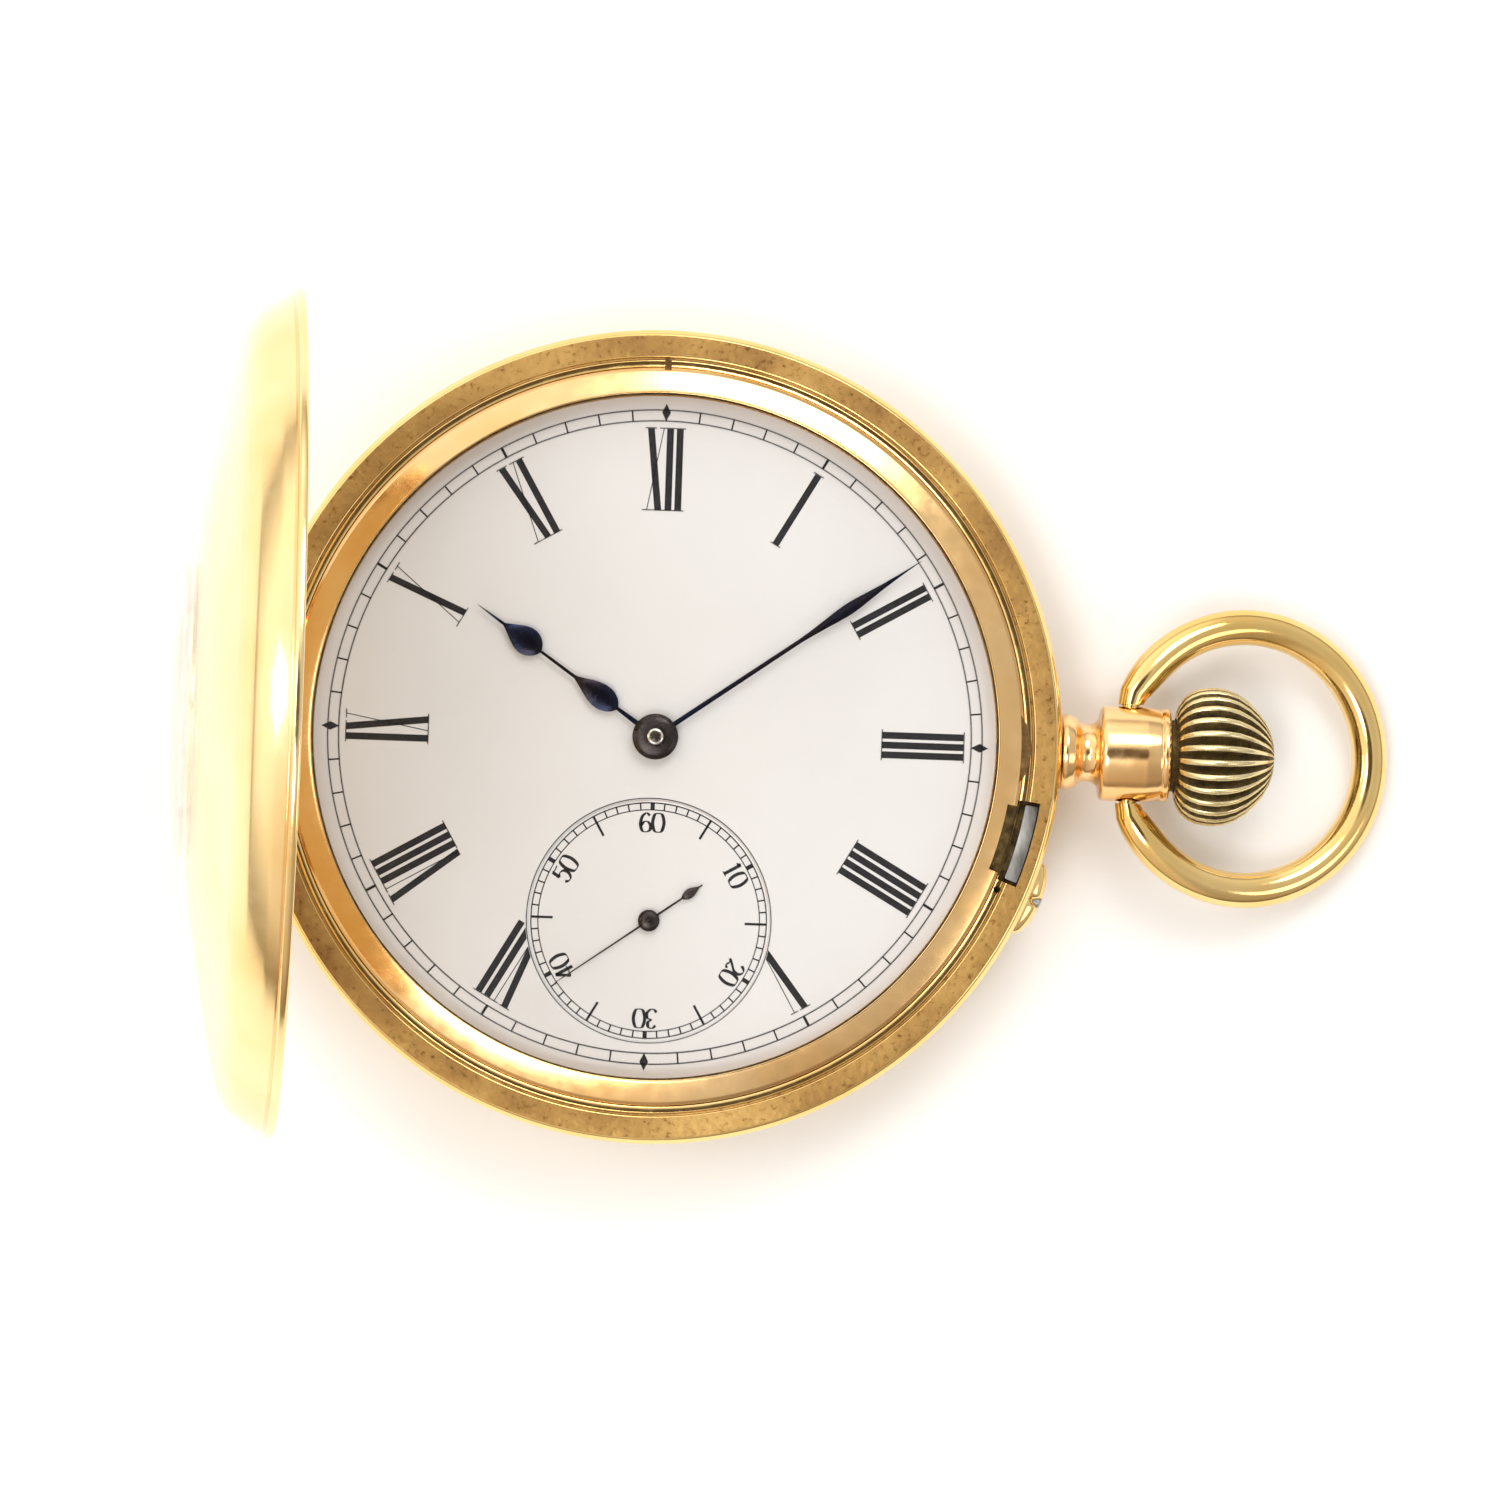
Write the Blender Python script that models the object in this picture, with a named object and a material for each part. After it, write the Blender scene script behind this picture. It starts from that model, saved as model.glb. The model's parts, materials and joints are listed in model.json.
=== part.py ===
"""Gold half-hunter pocket watch lying on its back cover, front cover standing open.

Dimensions are in millimetres and become metres when a mesh is stored. The origin is the
centre of the back cover's flat. +X runs to the pendant at 3 o'clock, +Y to 12 o'clock and
+Z out of the dial. Wheels are turned about Z; crown, stem and pendant about X.
"""
import math

import bmesh
import bpy
from mathutils import Matrix, Vector

MM = 0.001
TAU = 2.0 * math.pi

# facets round each kind of turned piece
RIM_FACETS = 48
DISC_FACETS = 32
TUBE_FACETS = 18
ARBOR_FACETS = 8
SHARP_ANGLE = math.radians(38.0)

# case
CASE_R = 25.0
CASE_BOTTOM_Z = 3.65
BAND_Z = 7.6
BAND_IN_R = 23.3
STEP_IN_R = 22.68
MOVEMENT_WELL_R = 21.2
LEDGE_R = 20.0
BEZEL_IN_R = 20.95
BEZEL_OUT_R = 22.6
CRYSTAL_R = 21.4

# covers
FRONT_HINGE_X = -23.35
FRONT_OPEN_DEG = 86.0
COVER_R = 24.9
COVER_LIFT = 0.05
COVER_GLASS_R = 8.65
HINGE_R = 0.7
HINGE_HALF_LENGTH = 6.8
HINGE_END_ROOM = 1.4
KNUCKLE_SPLIT = 2.4
KNUCKLE_GAP = 0.15
HINGE_WEB_X = 0.9
HINGE_EDGE_X = 0.75
PIN_R = 0.3
PIN_HOLE_R = 0.38
BACK_HINGE_X = -23.2
BACK_HINGE_Z = 3.6
CUVETTE_HINGE_X = -21.9
CUVETTE_HINGE_Z = 3.3
CUVETTE_KNUCKLE_R = 0.42

# pendant, crown and bow
STEM_Z = 4.8
STEM_R = 0.45
BOW_PIVOT_X = 29.3
BOW_DROOP_DEG = 13.5
BOW_RING_R = 8.15
BOW_RING_X = 7.5
BOW_WIRE_R = 1.1
BOW_PIN_R = 0.55
CROWN_X = 32.1
CROWN_RIBS = 28
CROWN_GROOVE = 0.42

# catch and hand-setting push piece, angles from +X
CATCH_DEG = (-20.1, -8.5)
PUSH_DEG = -21.4
PUSH_Z = 5.7

# plates, measured along Z from the back
PLATE = (4.5, 5.3)
BRIDGE = (2.1, 2.8)
COCK = (2.0, 2.6)
PALLET_BRIDGE = (2.2, 2.7)
PLATE_R = 20.3
BRIDGE_R = 19.6
FOOT_OUT_R = 19.4
DIAL = (5.9, 6.3)
DIAL_R = 21.0
SUBDIAL_R = 7.7
SUBDIAL_FLOOR = 6.1

# wheel centres
CENTRE = (0.0, 0.0)
BARREL = (2.05, 7.64)
THIRD = (4.49, -6.19)
FOURTH = (0.0, -11.3)
ESCAPE = (-5.2, -13.7)
BALANCE = (-11.0, -5.0)
CROWN_WHEEL = (10.8, 0.0)
CLICK_PIVOT = (-7.3, 9.9)
MINUTE_WHEEL = (-1.8, 2.1448)
LEVER_FROM_ESCAPE = 3.2

# teeth, as (wheel, pinion it drives)
BARREL_TEETH = (56, 7)
CENTRE_TEETH = (56, 7)
THIRD_TEETH = (60, 8)
FOURTH_TEETH = (60, 6)
MOTION_TEETH = (30, 10)
HOUR_TEETH = (32, 8)
WINDING_TEETH = (39, 30)
CONTRATE_TEETH = 16
STEM_PINION_TEETH = 8
ESCAPE_TEETH = 15

PIVOT_R = 0.2
PIVOT_HOLE_R = 0.4
ARBOR_R = 0.3
SCREW_R = 0.36
SCREW_HOLE_R = 0.5

# hands, angles clockwise from 12
HOUR_DEG = 304.7
MINUTE_DEG = 54.6
SECOND_DEG = 234.5

# name: colour, roughness, metallic
FINISHES = {
    "gold": ((0.83, 0.56, 0.22), 0.2, 1.0),
    "rose_gold": ((0.86, 0.58, 0.34), 0.18, 1.0),
    "gilt_brass": ((0.8, 0.6, 0.28), 0.35, 1.0),
    "nickel": ((0.62, 0.61, 0.58), 0.3, 1.0),
    "steel": ((0.5, 0.5, 0.51), 0.25, 1.0),
    "blued_steel": ((0.02, 0.035, 0.13), 0.25, 1.0),
    "enamel": ((0.88, 0.87, 0.84), 0.15, 0.0),
    "glass": ((0.9, 0.93, 0.93), 0.03, 0.0),
}


# ---------------------------------------------------------------- shapes, in millimetres

def turned_point(radius, angle, centre=(0.0, 0.0)):
    return centre[0] + radius * math.cos(angle), centre[1] + radius * math.sin(angle)


def circle(radius, facets, centre=(0.0, 0.0)):
    return [turned_point(radius, TAU * i / facets, centre) for i in range(facets)]


def arc(radius, start_deg, end_deg, steps, centre=(0.0, 0.0)):
    span = math.radians(end_deg - start_deg)
    start = math.radians(start_deg)
    return [turned_point(radius, start + span * i / steps, centre) for i in range(steps + 1)]


def sector(inner, outer, start_deg, end_deg, steps, centre=(0.0, 0.0)):
    """Outline of a piece of a ring."""
    return (arc(outer, start_deg, end_deg, steps, centre)
            + arc(inner, end_deg, start_deg, steps, centre))


def capsule(a, b, radius_a, radius_b, steps=5):
    """Outline of a bar with a round end at each of two points."""
    heading = math.degrees(math.atan2(b[1] - a[1], b[0] - a[0]))
    return (arc(radius_a, heading + 90, heading + 270, steps, a)
            + arc(radius_b, heading - 90, heading + 90, steps, b))


def direction(start, end):
    return math.atan2(end[1] - start[1], end[0] - start[0])


def wheel_teeth(teeth, pitch_r, phase):
    """Pointed teeth; one is centred on the phase angle."""
    module = 2.0 * pitch_r / teeth
    step = TAU / teeth
    points = []
    for i in range(teeth):
        middle = phase + i * step
        points.append(turned_point(pitch_r - 1.3 * module, middle - 0.5 * step))
        points.append(turned_point(pitch_r + 0.9 * module, middle))
    return points


def pinion_leaves(leaves, pitch_r, phase):
    """Slim leaves; one leaf is centred on the phase angle."""
    module = 2.0 * pitch_r / leaves
    step = TAU / leaves
    points = []
    for i in range(leaves):
        middle = phase + i * step
        points.append(turned_point(pitch_r - 1.2 * module, middle - 0.2 * step))
        points.append(turned_point(pitch_r + 0.65 * module, middle - 0.07 * step))
        points.append(turned_point(pitch_r + 0.65 * module, middle + 0.07 * step))
        points.append(turned_point(pitch_r - 1.2 * module, middle + 0.2 * step))
    return points


def mesh_pair(teeth, wheel_at, pinion_at):
    """Outlines of a wheel and the pinion it meshes with, in step where they meet."""
    distance = math.dist(wheel_at, pinion_at)
    heading = direction(wheel_at, pinion_at)
    wheel_r = distance * teeth[0] / sum(teeth)
    wheel = wheel_teeth(teeth[0], wheel_r, heading)
    pinion = pinion_leaves(teeth[1], distance - wheel_r, heading + math.pi + math.pi / teeth[1])
    return wheel, pinion


def spoke_windows(inner, outer, spokes, spoke_width, start_deg=0.0, steps=(4, 1)):
    """Openings between the spokes of a wheel."""
    windows = []
    for i in range(spokes):
        low, high = start_deg + 360.0 * i / spokes, start_deg + 360.0 * (i + 1) / spokes
        wide = math.degrees(0.5 * spoke_width / outer)
        narrow = math.degrees(0.5 * spoke_width / inner)
        windows.append(arc(outer, low + wide, high - wide, steps[0])
                       + arc(inner, high - narrow, low + narrow, steps[1]))
    return windows


def fill(bm, edges):
    bmesh.ops.triangle_fill(bm, use_beauty=True, use_dissolve=False, edges=edges,
                            normal=(0.0, 0.0, 1.0))


def new_ring(bm, outline, z):
    verts = [bm.verts.new((x, y, z)) for x, y in outline]
    edges = [bm.edges.new((verts[i - 1], verts[i])) for i in range(len(verts))]
    return verts, edges


def layered(layers):
    """One closed body of flat layers, each (low z, high z, outlines). Outlines are outer edges
    and holes; the same list object in two neighbouring layers runs on without a step."""
    bm = bmesh.new()
    carried = []
    for index, (low, high, outlines) in enumerate(layers):
        bottom, cap = [], []
        for outline in outlines:
            known = [ring for shape, ring in carried if shape is outline]
            ring = known[0] if known else new_ring(bm, outline, low)
            if not known:
                cap += ring[1]
            bottom.append((outline, ring))
        cap += [e for shape, ring in carried
                if not any(shape is outline for outline in outlines) for e in ring[1]]
        if cap:
            fill(bm, cap)
        carried = []
        for outline, (verts, _) in bottom:
            upper = new_ring(bm, outline, high)
            for i in range(len(verts)):
                bm.faces.new((verts[i - 1], verts[i], upper[0][i], upper[0][i - 1]))
            carried.append((outline, upper))
        if index == len(layers) - 1:
            fill(bm, [e for _, ring in carried for e in ring[1]])
    bmesh.ops.recalc_face_normals(bm, faces=bm.faces[:])
    return bm


def lathe(profile, facets):
    """Closed body turned about Z from a closed (radius, z) profile."""
    bm = bmesh.new()
    rings = []
    for radius, z in profile:
        if radius == 0.0:
            rings.append([bm.verts.new((0.0, 0.0, z))] * facets)
        else:
            rings.append([bm.verts.new((*turned_point(radius, TAU * i / facets), z))
                          for i in range(facets)])
    for here, after in zip(rings, rings[1:] + rings[:1]):
        for i in range(facets):
            j = (i + 1) % facets
            corners = []
            for v in (here[i], here[j], after[j], after[i]):
                if v not in corners:
                    corners.append(v)
            if len(corners) > 2:
                bm.faces.new(corners)
    bmesh.ops.recalc_face_normals(bm, faces=bm.faces[:])
    return bm


def block(low, high):
    """Box between two corners."""
    bm = bmesh.new()
    bmesh.ops.create_cube(bm, size=1.0)
    for v in bm.verts:
        v.co = Vector([low[k] + (v.co[k] + 0.5) * (high[k] - low[k]) for k in range(3)])
    return bm


def cylinder(radius, start, end, facets=16):
    """Solid cylinder between two points."""
    span = Vector(end) - Vector(start)
    bm = layered([(0.0, span.length, [circle(radius, facets)])])
    turn = Vector((0.0, 0.0, 1.0)).rotation_difference(span)
    moved(bm, Matrix.Translation(Vector(start)) @ turn.to_matrix().to_4x4())
    return bm


def moved(bm, matrix):
    bmesh.ops.transform(bm, matrix=matrix, verts=bm.verts[:])
    return bm


def scratch_object(bm):
    mesh = bpy.data.meshes.new("scratch")
    bm.to_mesh(mesh)
    bm.free()
    obj = bpy.data.objects.new("scratch", mesh)
    bpy.context.scene.collection.objects.link(obj)
    return obj


def combined(base, tools, operation):
    """The base body with each tool cut from it or joined to it."""
    for tool in tools:
        body, other = scratch_object(base), scratch_object(tool)
        modifier = body.modifiers.new("cut", "BOOLEAN")
        modifier.operation = operation
        modifier.solver = "EXACT"
        modifier.object = other
        graph = bpy.context.evaluated_depsgraph_get()
        result = bpy.data.meshes.new_from_object(body.evaluated_get(graph))
        base = bmesh.new()
        base.from_mesh(result)
        for obj in (body, other):
            old = obj.data
            bpy.data.objects.remove(obj)
            bpy.data.meshes.remove(old)
        bpy.data.meshes.remove(result)
    return base


def cut(base, *tools):
    return combined(base, tools, "DIFFERENCE")


def joined(base, *tools):
    return combined(base, tools, "UNION")


def finish(name):
    if name in bpy.data.materials:
        return bpy.data.materials[name]
    colour, roughness, metallic = FINISHES[name]
    material = bpy.data.materials.new(name)
    material.use_nodes = True
    shader = material.node_tree.nodes["Principled BSDF"]
    shader.inputs["Base Color"].default_value = (*colour, 1.0)
    shader.inputs["Roughness"].default_value = roughness
    shader.inputs["Metallic"].default_value = metallic
    if name == "glass":
        shader.inputs["Transmission Weight"].default_value = 1.0
    return material


def node(name, bm, material, at=(0.0, 0.0, 0.0), turn_deg=(0.0, 0.0, 0.0)):
    """Store one piece as an object, shaded smooth except at its corners."""
    for v in bm.verts:
        v.co *= MM
    for face in bm.faces:
        face.smooth = True
    for edge in bm.edges:
        edge.smooth = len(edge.link_faces) == 2 and edge.calc_face_angle(0.0) < SHARP_ANGLE
    mesh = bpy.data.meshes.new(name)
    bm.to_mesh(mesh)
    bm.free()
    mesh.materials.append(finish(material))
    obj = bpy.data.objects.new(name, mesh)
    obj.location = [c * MM for c in at]
    obj.rotation_euler = [math.radians(a) for a in turn_deg]
    bpy.context.scene.collection.objects.link(obj)
    return obj


def arbor(*steps):
    """Layers of a plain turned arbor, as (low z, high z, radius)."""
    return [(low, high, [circle(radius, ARBOR_FACETS)]) for low, high, radius in steps]


# ------------------------------------------------------------------------- case and covers

def hinge_barrel(low_y, high_y, radius=HINGE_R):
    return cylinder(radius, (0.0, low_y, 0.0), (0.0, high_y, 0.0), 16)


def hinge_hole(radius=PIN_HOLE_R):
    reach = HINGE_HALF_LENGTH + 2.0
    return cylinder(radius, (0.0, -reach, 0.0), (0.0, reach, 0.0), 12)


def outer_knuckles(web_z, axis_x, axis_z):
    """The case's two knuckles of a cover hinge, each with a web into the case."""
    shapes = []
    for side in (-1, 1):
        y = sorted((side * (KNUCKLE_SPLIT + KNUCKLE_GAP), side * HINGE_HALF_LENGTH))
        shapes.append(hinge_barrel(*y))
        z = sorted((0.0, web_z))
        shapes.append(block((-0.55, y[0], z[0]), (HINGE_WEB_X, y[1], z[1])))
    return [moved(s, Matrix.Translation((axis_x, 0.0, axis_z))) for s in shapes]


def case_middle():
    profile = [
        (MOVEMENT_WELL_R, CASE_BOTTOM_Z), (24.7, CASE_BOTTOM_Z), (CASE_R, 4.3), (CASE_R, 7.2),
        (24.68, BAND_Z), (BAND_IN_R, BAND_Z), (BAND_IN_R, 7.35), (23.12, 7.35),
        (23.12, 7.62), (STEP_IN_R, 7.62), (STEP_IN_R, 6.5), (MOVEMENT_WELL_R, 6.5),
        (MOVEMENT_WELL_R, 5.82), (LEDGE_R, 5.82), (LEDGE_R, 5.38), (MOVEMENT_WELL_R, 5.38),
    ]
    body = lathe(profile, RIM_FACETS)
    clear_y = HINGE_HALF_LENGTH + HINGE_END_ROOM
    front_notch = block((-26.0, -clear_y, 6.5), (-22.62, clear_y, 9.0))
    back_notch = block((-26.0, -clear_y, 2.0), (-22.35, clear_y, 4.9))
    cuvette_notch = block((-22.5, -2.6, 2.0), (-21.0, 2.6, 3.95))
    spring_pocket = layered([(6.6, 9.0, [sector(22.72, 23.98, CATCH_DEG[0] - 0.6,
                                                CATCH_DEG[1] + 0.6, 6)])])
    stem_hole = cylinder(1.05, (20.0, 0.0, STEM_Z), (26.0, 0.0, STEM_Z))
    push_way = Vector((math.cos(math.radians(PUSH_DEG)), math.sin(math.radians(PUSH_DEG)), 0.0))
    lift = Vector((0.0, 0.0, PUSH_Z))
    push_hole = cylinder(0.5, push_way * 22.0 + lift, push_way * 26.0 + lift)
    body = cut(body, front_notch, back_notch, cuvette_notch, spring_pocket, stem_hole, push_hole)
    body = joined(body, *outer_knuckles(-1.3, FRONT_HINGE_X, BAND_Z),
                  *outer_knuckles(1.5, BACK_HINGE_X, BACK_HINGE_Z))
    for x, z in ((FRONT_HINGE_X, BAND_Z), (BACK_HINGE_X, BACK_HINGE_Z)):
        body = cut(body, moved(hinge_hole(), Matrix.Translation((x, 0.0, z))))
    node("case_middle", body, "gold")


def bezel():
    profile = [(21.55, 6.55), (BEZEL_OUT_R, 6.55), (BEZEL_OUT_R, 7.72), (22.3, 8.02),
               (21.6, 8.2), (21.1, 8.18), (BEZEL_IN_R, 8.05), (BEZEL_IN_R, 7.95), (21.55, 7.78)]
    catch_slot = layered([(7.35, 9.0, [sector(22.15, 23.0, CATCH_DEG[0] + 0.6,
                                              CATCH_DEG[1] - 0.6, 6)])])
    lug = block((-0.28, 22.1, 7.66), (0.28, 23.25, 8.0))
    node("bezel", joined(cut(lathe(profile, RIM_FACETS), catch_slot), lug), "rose_gold")


def crystal():
    profile = [(0.0, 7.95), (10.0, 7.85), (16.0, 7.68), (20.4, 7.42), (CRYSTAL_R, 7.3),
               (CRYSTAL_R, 7.72), (20.8, 7.83), (16.0, 8.15), (10.0, 8.32), (0.0, 8.42)]
    node("crystal", lathe(profile, RIM_FACETS), "glass")


def front_cover():
    """Cover shaped closed about its hinge axis, then stood open."""
    lift = COVER_LIFT
    profile = [
        (23.4, lift), (COVER_R, lift), (COVER_R, 0.58), (24.52, 0.68), (24.25, 1.35),
        (23.75, 2.05), (23.35, 2.65), (22.3, 3.3), (20.1, 3.86), (15.0, 4.8), (9.7, 5.58),
        (COVER_GLASS_R + 0.12, 5.6), (COVER_GLASS_R + 0.12, 5.2), (8.2, 5.2), (8.2, 4.95),
        (9.6, 5.0), (15.0, 4.25), (20.0, 3.3), (21.9, 2.8), (22.9, 2.0), (23.35, 1.0),
    ]
    to_hinge = Matrix.Translation((-FRONT_HINGE_X, 0.0, 0.0))
    body = moved(lathe(profile, RIM_FACETS), to_hinge)
    clear_y = HINGE_HALF_LENGTH + HINGE_END_ROOM
    body = cut(body, block((-4.0, -clear_y, -1.0), (HINGE_EDGE_X, clear_y, 1.45)))
    end_y = HINGE_HALF_LENGTH - 0.05
    rail = block((-0.75, -end_y, 0.82), (HINGE_EDGE_X, end_y, 1.6))
    knuckle = hinge_barrel(-KNUCKLE_SPLIT, KNUCKLE_SPLIT)
    web = block((-0.5, -KNUCKLE_SPLIT, 0.0), (0.5, KNUCKLE_SPLIT, 1.3))
    body = cut(joined(body, rail, web, knuckle), hinge_hole())
    node("front_cover", body, "gold", (FRONT_HINGE_X, 0.0, BAND_Z), (0.0, -FRONT_OPEN_DEG, 0.0))


def cover_glass():
    profile = [(0.0, 6.25), (5.0, 6.1), (8.05, 5.7), (8.05, 5.25), (COVER_GLASS_R, 5.25),
               (COVER_GLASS_R, 6.15), (8.4, 6.32), (5.0, 6.75), (0.0, 6.9)]
    body = moved(lathe(profile, DISC_FACETS), Matrix.Translation((-FRONT_HINGE_X, 0.0, 0.0)))
    node("cover_glass", body, "glass", (FRONT_HINGE_X, 0.0, BAND_Z), (0.0, -FRONT_OPEN_DEG, 0.0))


def back_cover():
    profile = [(0.0, 0.0), (12.0, 0.0), (17.0, 0.22), (21.0, 0.9), (23.4, 1.9), (24.5, 2.85),
               (24.75, 3.6), (24.2, 3.6), (23.95, 3.05), (23.0, 2.3), (20.8, 1.4),
               (16.9, 0.72), (12.0, 0.5), (0.0, 0.5)]
    body = lathe(profile, RIM_FACETS)
    clear_y = HINGE_HALF_LENGTH + HINGE_END_ROOM
    body = cut(body, block((-27.0, -clear_y, 2.21), (BACK_HINGE_X + HINGE_EDGE_X, clear_y, 4.3)))
    at_hinge = Matrix.Translation((BACK_HINGE_X, 0.0, BACK_HINGE_Z))
    end_y = HINGE_HALF_LENGTH - 0.05
    rail = moved(block((-0.7, -end_y, -1.53), (HINGE_EDGE_X + 0.05, end_y, -0.82)), at_hinge)
    knuckle = moved(hinge_barrel(-KNUCKLE_SPLIT, KNUCKLE_SPLIT), at_hinge)
    web = moved(block((-0.5, -KNUCKLE_SPLIT, -1.3), (0.5, KNUCKLE_SPLIT, 0.0)), at_hinge)
    body = cut(joined(body, rail, web, knuckle), moved(hinge_hole(), at_hinge))
    node("back_cover", body, "gold")


def cuvette():
    profile = [(0.0, 0.85), (14.0, 0.85), (18.5, 1.2), (21.2, 2.1), (22.0, 2.9), (22.0, 3.6),
               (21.7, 3.6), (21.7, 3.0), (20.95, 2.32), (18.4, 1.45), (14.0, 1.1), (0.0, 1.1)]
    body = lathe(profile, DISC_FACETS)
    body = cut(body, block((-23.0, -2.4, 2.75), (-20.8, 2.4, 4.0)))
    at_hinge = Matrix.Translation((CUVETTE_HINGE_X, 0.0, CUVETTE_HINGE_Z))
    knuckle = moved(hinge_barrel(-2.1, 2.1, CUVETTE_KNUCKLE_R), at_hinge)
    web = moved(block((-0.2, -2.1, -0.75), (0.2, 2.1, 0.0)), at_hinge)
    hole = moved(hinge_hole(0.22), at_hinge)
    node("cuvette", cut(joined(body, web, knuckle), hole), "gold")


def hinge_pins():
    reach = HINGE_HALF_LENGTH - 0.05
    for name, x, z, radius, half in (
        ("front_hinge_pin", FRONT_HINGE_X, BAND_Z, PIN_R, reach),
        ("back_hinge_pin", BACK_HINGE_X, BACK_HINGE_Z, PIN_R, reach),
        ("cuvette_hinge_pin", CUVETTE_HINGE_X, CUVETTE_HINGE_Z, 0.17, 2.5),
    ):
        node(name, cylinder(radius, (0.0, -half, 0.0), (0.0, half, 0.0), 12), "steel",
             (x, 0.0, z))


def catch_and_push_piece():
    strip = sector(23.12, 23.9, *CATCH_DEG, 5)
    node("catch", layered([(6.8, 7.62, [strip])]), "steel")
    way = Vector((math.cos(math.radians(PUSH_DEG)), math.sin(math.radians(PUSH_DEG)), 0.0))
    lift = Vector((0.0, 0.0, PUSH_Z))
    swell = 2.9
    guard = layered([(4.75, 6.65, [sector(25.04, 25.45, PUSH_DEG - 5.2, PUSH_DEG + 5.2, 6)])])
    for side in (-swell, swell):
        lobe_at = turned_point(25.25, math.radians(PUSH_DEG + side))
        lobe = layered([(5.0, 6.4, [circle(0.62, 12, lobe_at)])])
        guard = joined(guard, cut(lobe, lathe([(0.0, 4.0), (25.04, 4.0), (25.04, 8.0),
                                               (0.0, 8.0)], RIM_FACETS)))
    guard = cut(guard, cylinder(0.5, way * 24.0 + lift, way * 27.0 + lift, 12))
    node("push_guard", guard, "gold")
    node("push_piece", cylinder(0.38, way * 23.6 + lift, way * 26.0 + lift, 12), "steel")


# ------------------------------------------------------------------ pendant, crown and bow

ALONG_X = (0.0, 90.0, 0.0)


def pendant():
    profile = [(0.98, 23.6), (0.98, 25.08), (2.3, 25.08), (2.35, 25.4), (2.2, 25.85),
               (1.86, 26.3), (1.79, 26.9), (2.1, 27.4), (2.75, 27.75), (2.94, 28.1),
               (2.94, 30.3), (2.8, 31.2), (2.9, 31.4), (2.9, 31.65), (2.6, 31.75),
               (1.25, 31.75), (1.25, 26.0), (0.62, 26.0), (0.62, 23.6)]
    body = lathe(profile, TUBE_FACETS)
    body = cut(body, cylinder(BOW_PIN_R + 0.12, (0.0, -4.0, BOW_PIVOT_X),
                              (0.0, 4.0, BOW_PIVOT_X)))
    node("pendant", body, "rose_gold", (0.0, 0.0, STEM_Z), ALONG_X)
    sleeve = lathe([(0.55, 26.6), (1.1, 26.6), (1.1, 31.5), (0.55, 31.5)], 16)
    node("push_sleeve", sleeve, "steel", (0.0, 0.0, STEM_Z), ALONG_X)


def crown():
    """Ribbed button turned about Z; grooves fade out toward both ends."""
    outline = [(2.8, 0.0, 0.0), (4.0, 1.5, 1.0), (4.29, 2.95, 1.0), (4.1, 4.2, 1.0),
               (3.5, 5.3, 0.9), (2.2, 6.1, 0.0)]
    facets = 2 * CROWN_RIBS
    bm = bmesh.new()
    rings = []
    for radius, z, grooved in outline:
        rings.append([bm.verts.new((*turned_point(
            radius - (CROWN_GROOVE * grooved if i % 2 else 0.0), TAU * i / facets), CROWN_X + z))
            for i in range(facets)])
    for low, high in zip(rings, rings[1:]):
        for i in range(facets):
            j = (i + 1) % facets
            bm.faces.new((low[i], low[j], high[j], high[i]))
    bm.faces.new(rings[0][::-1])
    bm.faces.new(rings[-1])
    bmesh.ops.recalc_face_normals(bm, faces=bm.faces[:])
    bore = cylinder(STEM_R + 0.12, (0.0, 0.0, CROWN_X - 1.0), (0.0, 0.0, CROWN_X + 3.2), 12)
    node("crown", cut(bm, bore), "gold", (0.0, 0.0, STEM_Z), ALONG_X)


def winding_stem():
    leaves = pinion_leaves(STEM_PINION_TEETH, 0.81, 0.0)
    shaft = circle(STEM_R, 12)
    body = layered([(12.45, 13.55, [leaves]), (13.55, CROWN_X + 3.0, [shaft])])
    node("winding_stem", body, "steel", (0.0, 0.0, STEM_Z), ALONG_X)


def bow():
    """Open ring of round wire whose ends turn in to the pendant."""
    end_angle = math.acos(-BOW_RING_X / BOW_RING_R)
    steps = 26
    path = []
    for i in range(steps + 1):
        angle = -end_angle + 2.0 * end_angle * i / steps
        x, y = turned_point(BOW_RING_R, angle, (BOW_RING_X, 0.0))
        path.append((x, y, BOW_WIRE_R))
    reach = [(0.0, 3.0, BOW_PIN_R), (0.0, 1.95, BOW_PIN_R)]
    cheek = (0.0, 3.1, 0.8)
    path = ([(x, -y, r) for x, y, r in reversed(reach)] + [(0.0, -cheek[1], cheek[2])]
            + path[1:-1] + [cheek] + reach)
    facets = 8
    bm = bmesh.new()
    rings = []
    for i, (x, y, radius) in enumerate(path):
        before, after = path[max(i - 1, 0)], path[min(i + 1, len(path) - 1)]
        along = Vector((after[0] - before[0], after[1] - before[1], 0.0)).normalized()
        if i < 3 or i > len(path) - 4:
            along = Vector((0.0, -1.0, 0.0))
        across = Vector((along.y, -along.x, 0.0))
        rings.append([bm.verts.new(Vector((x, y, 0.0)) + radius * (
            math.cos(TAU * k / facets) * across + Vector((0, 0, math.sin(TAU * k / facets)))))
            for k in range(facets)])
    for low, high in zip(rings, rings[1:]):
        for k in range(facets):
            m = (k + 1) % facets
            bm.faces.new((low[k], low[m], high[m], high[k]))
    bm.faces.new(rings[0][::-1])
    bm.faces.new(rings[-1])
    bmesh.ops.recalc_face_normals(bm, faces=bm.faces[:])
    node("bow", bm, "gold", (BOW_PIVOT_X, 0.0, STEM_Z), (0.0, BOW_DROOP_DEG, 0.0))


# --------------------------------------------------------------------- plates and bridges

def lever_arbor():
    heading = direction(ESCAPE, BALANCE)
    return turned_point(LEVER_FROM_ESCAPE, heading, ESCAPE)


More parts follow.
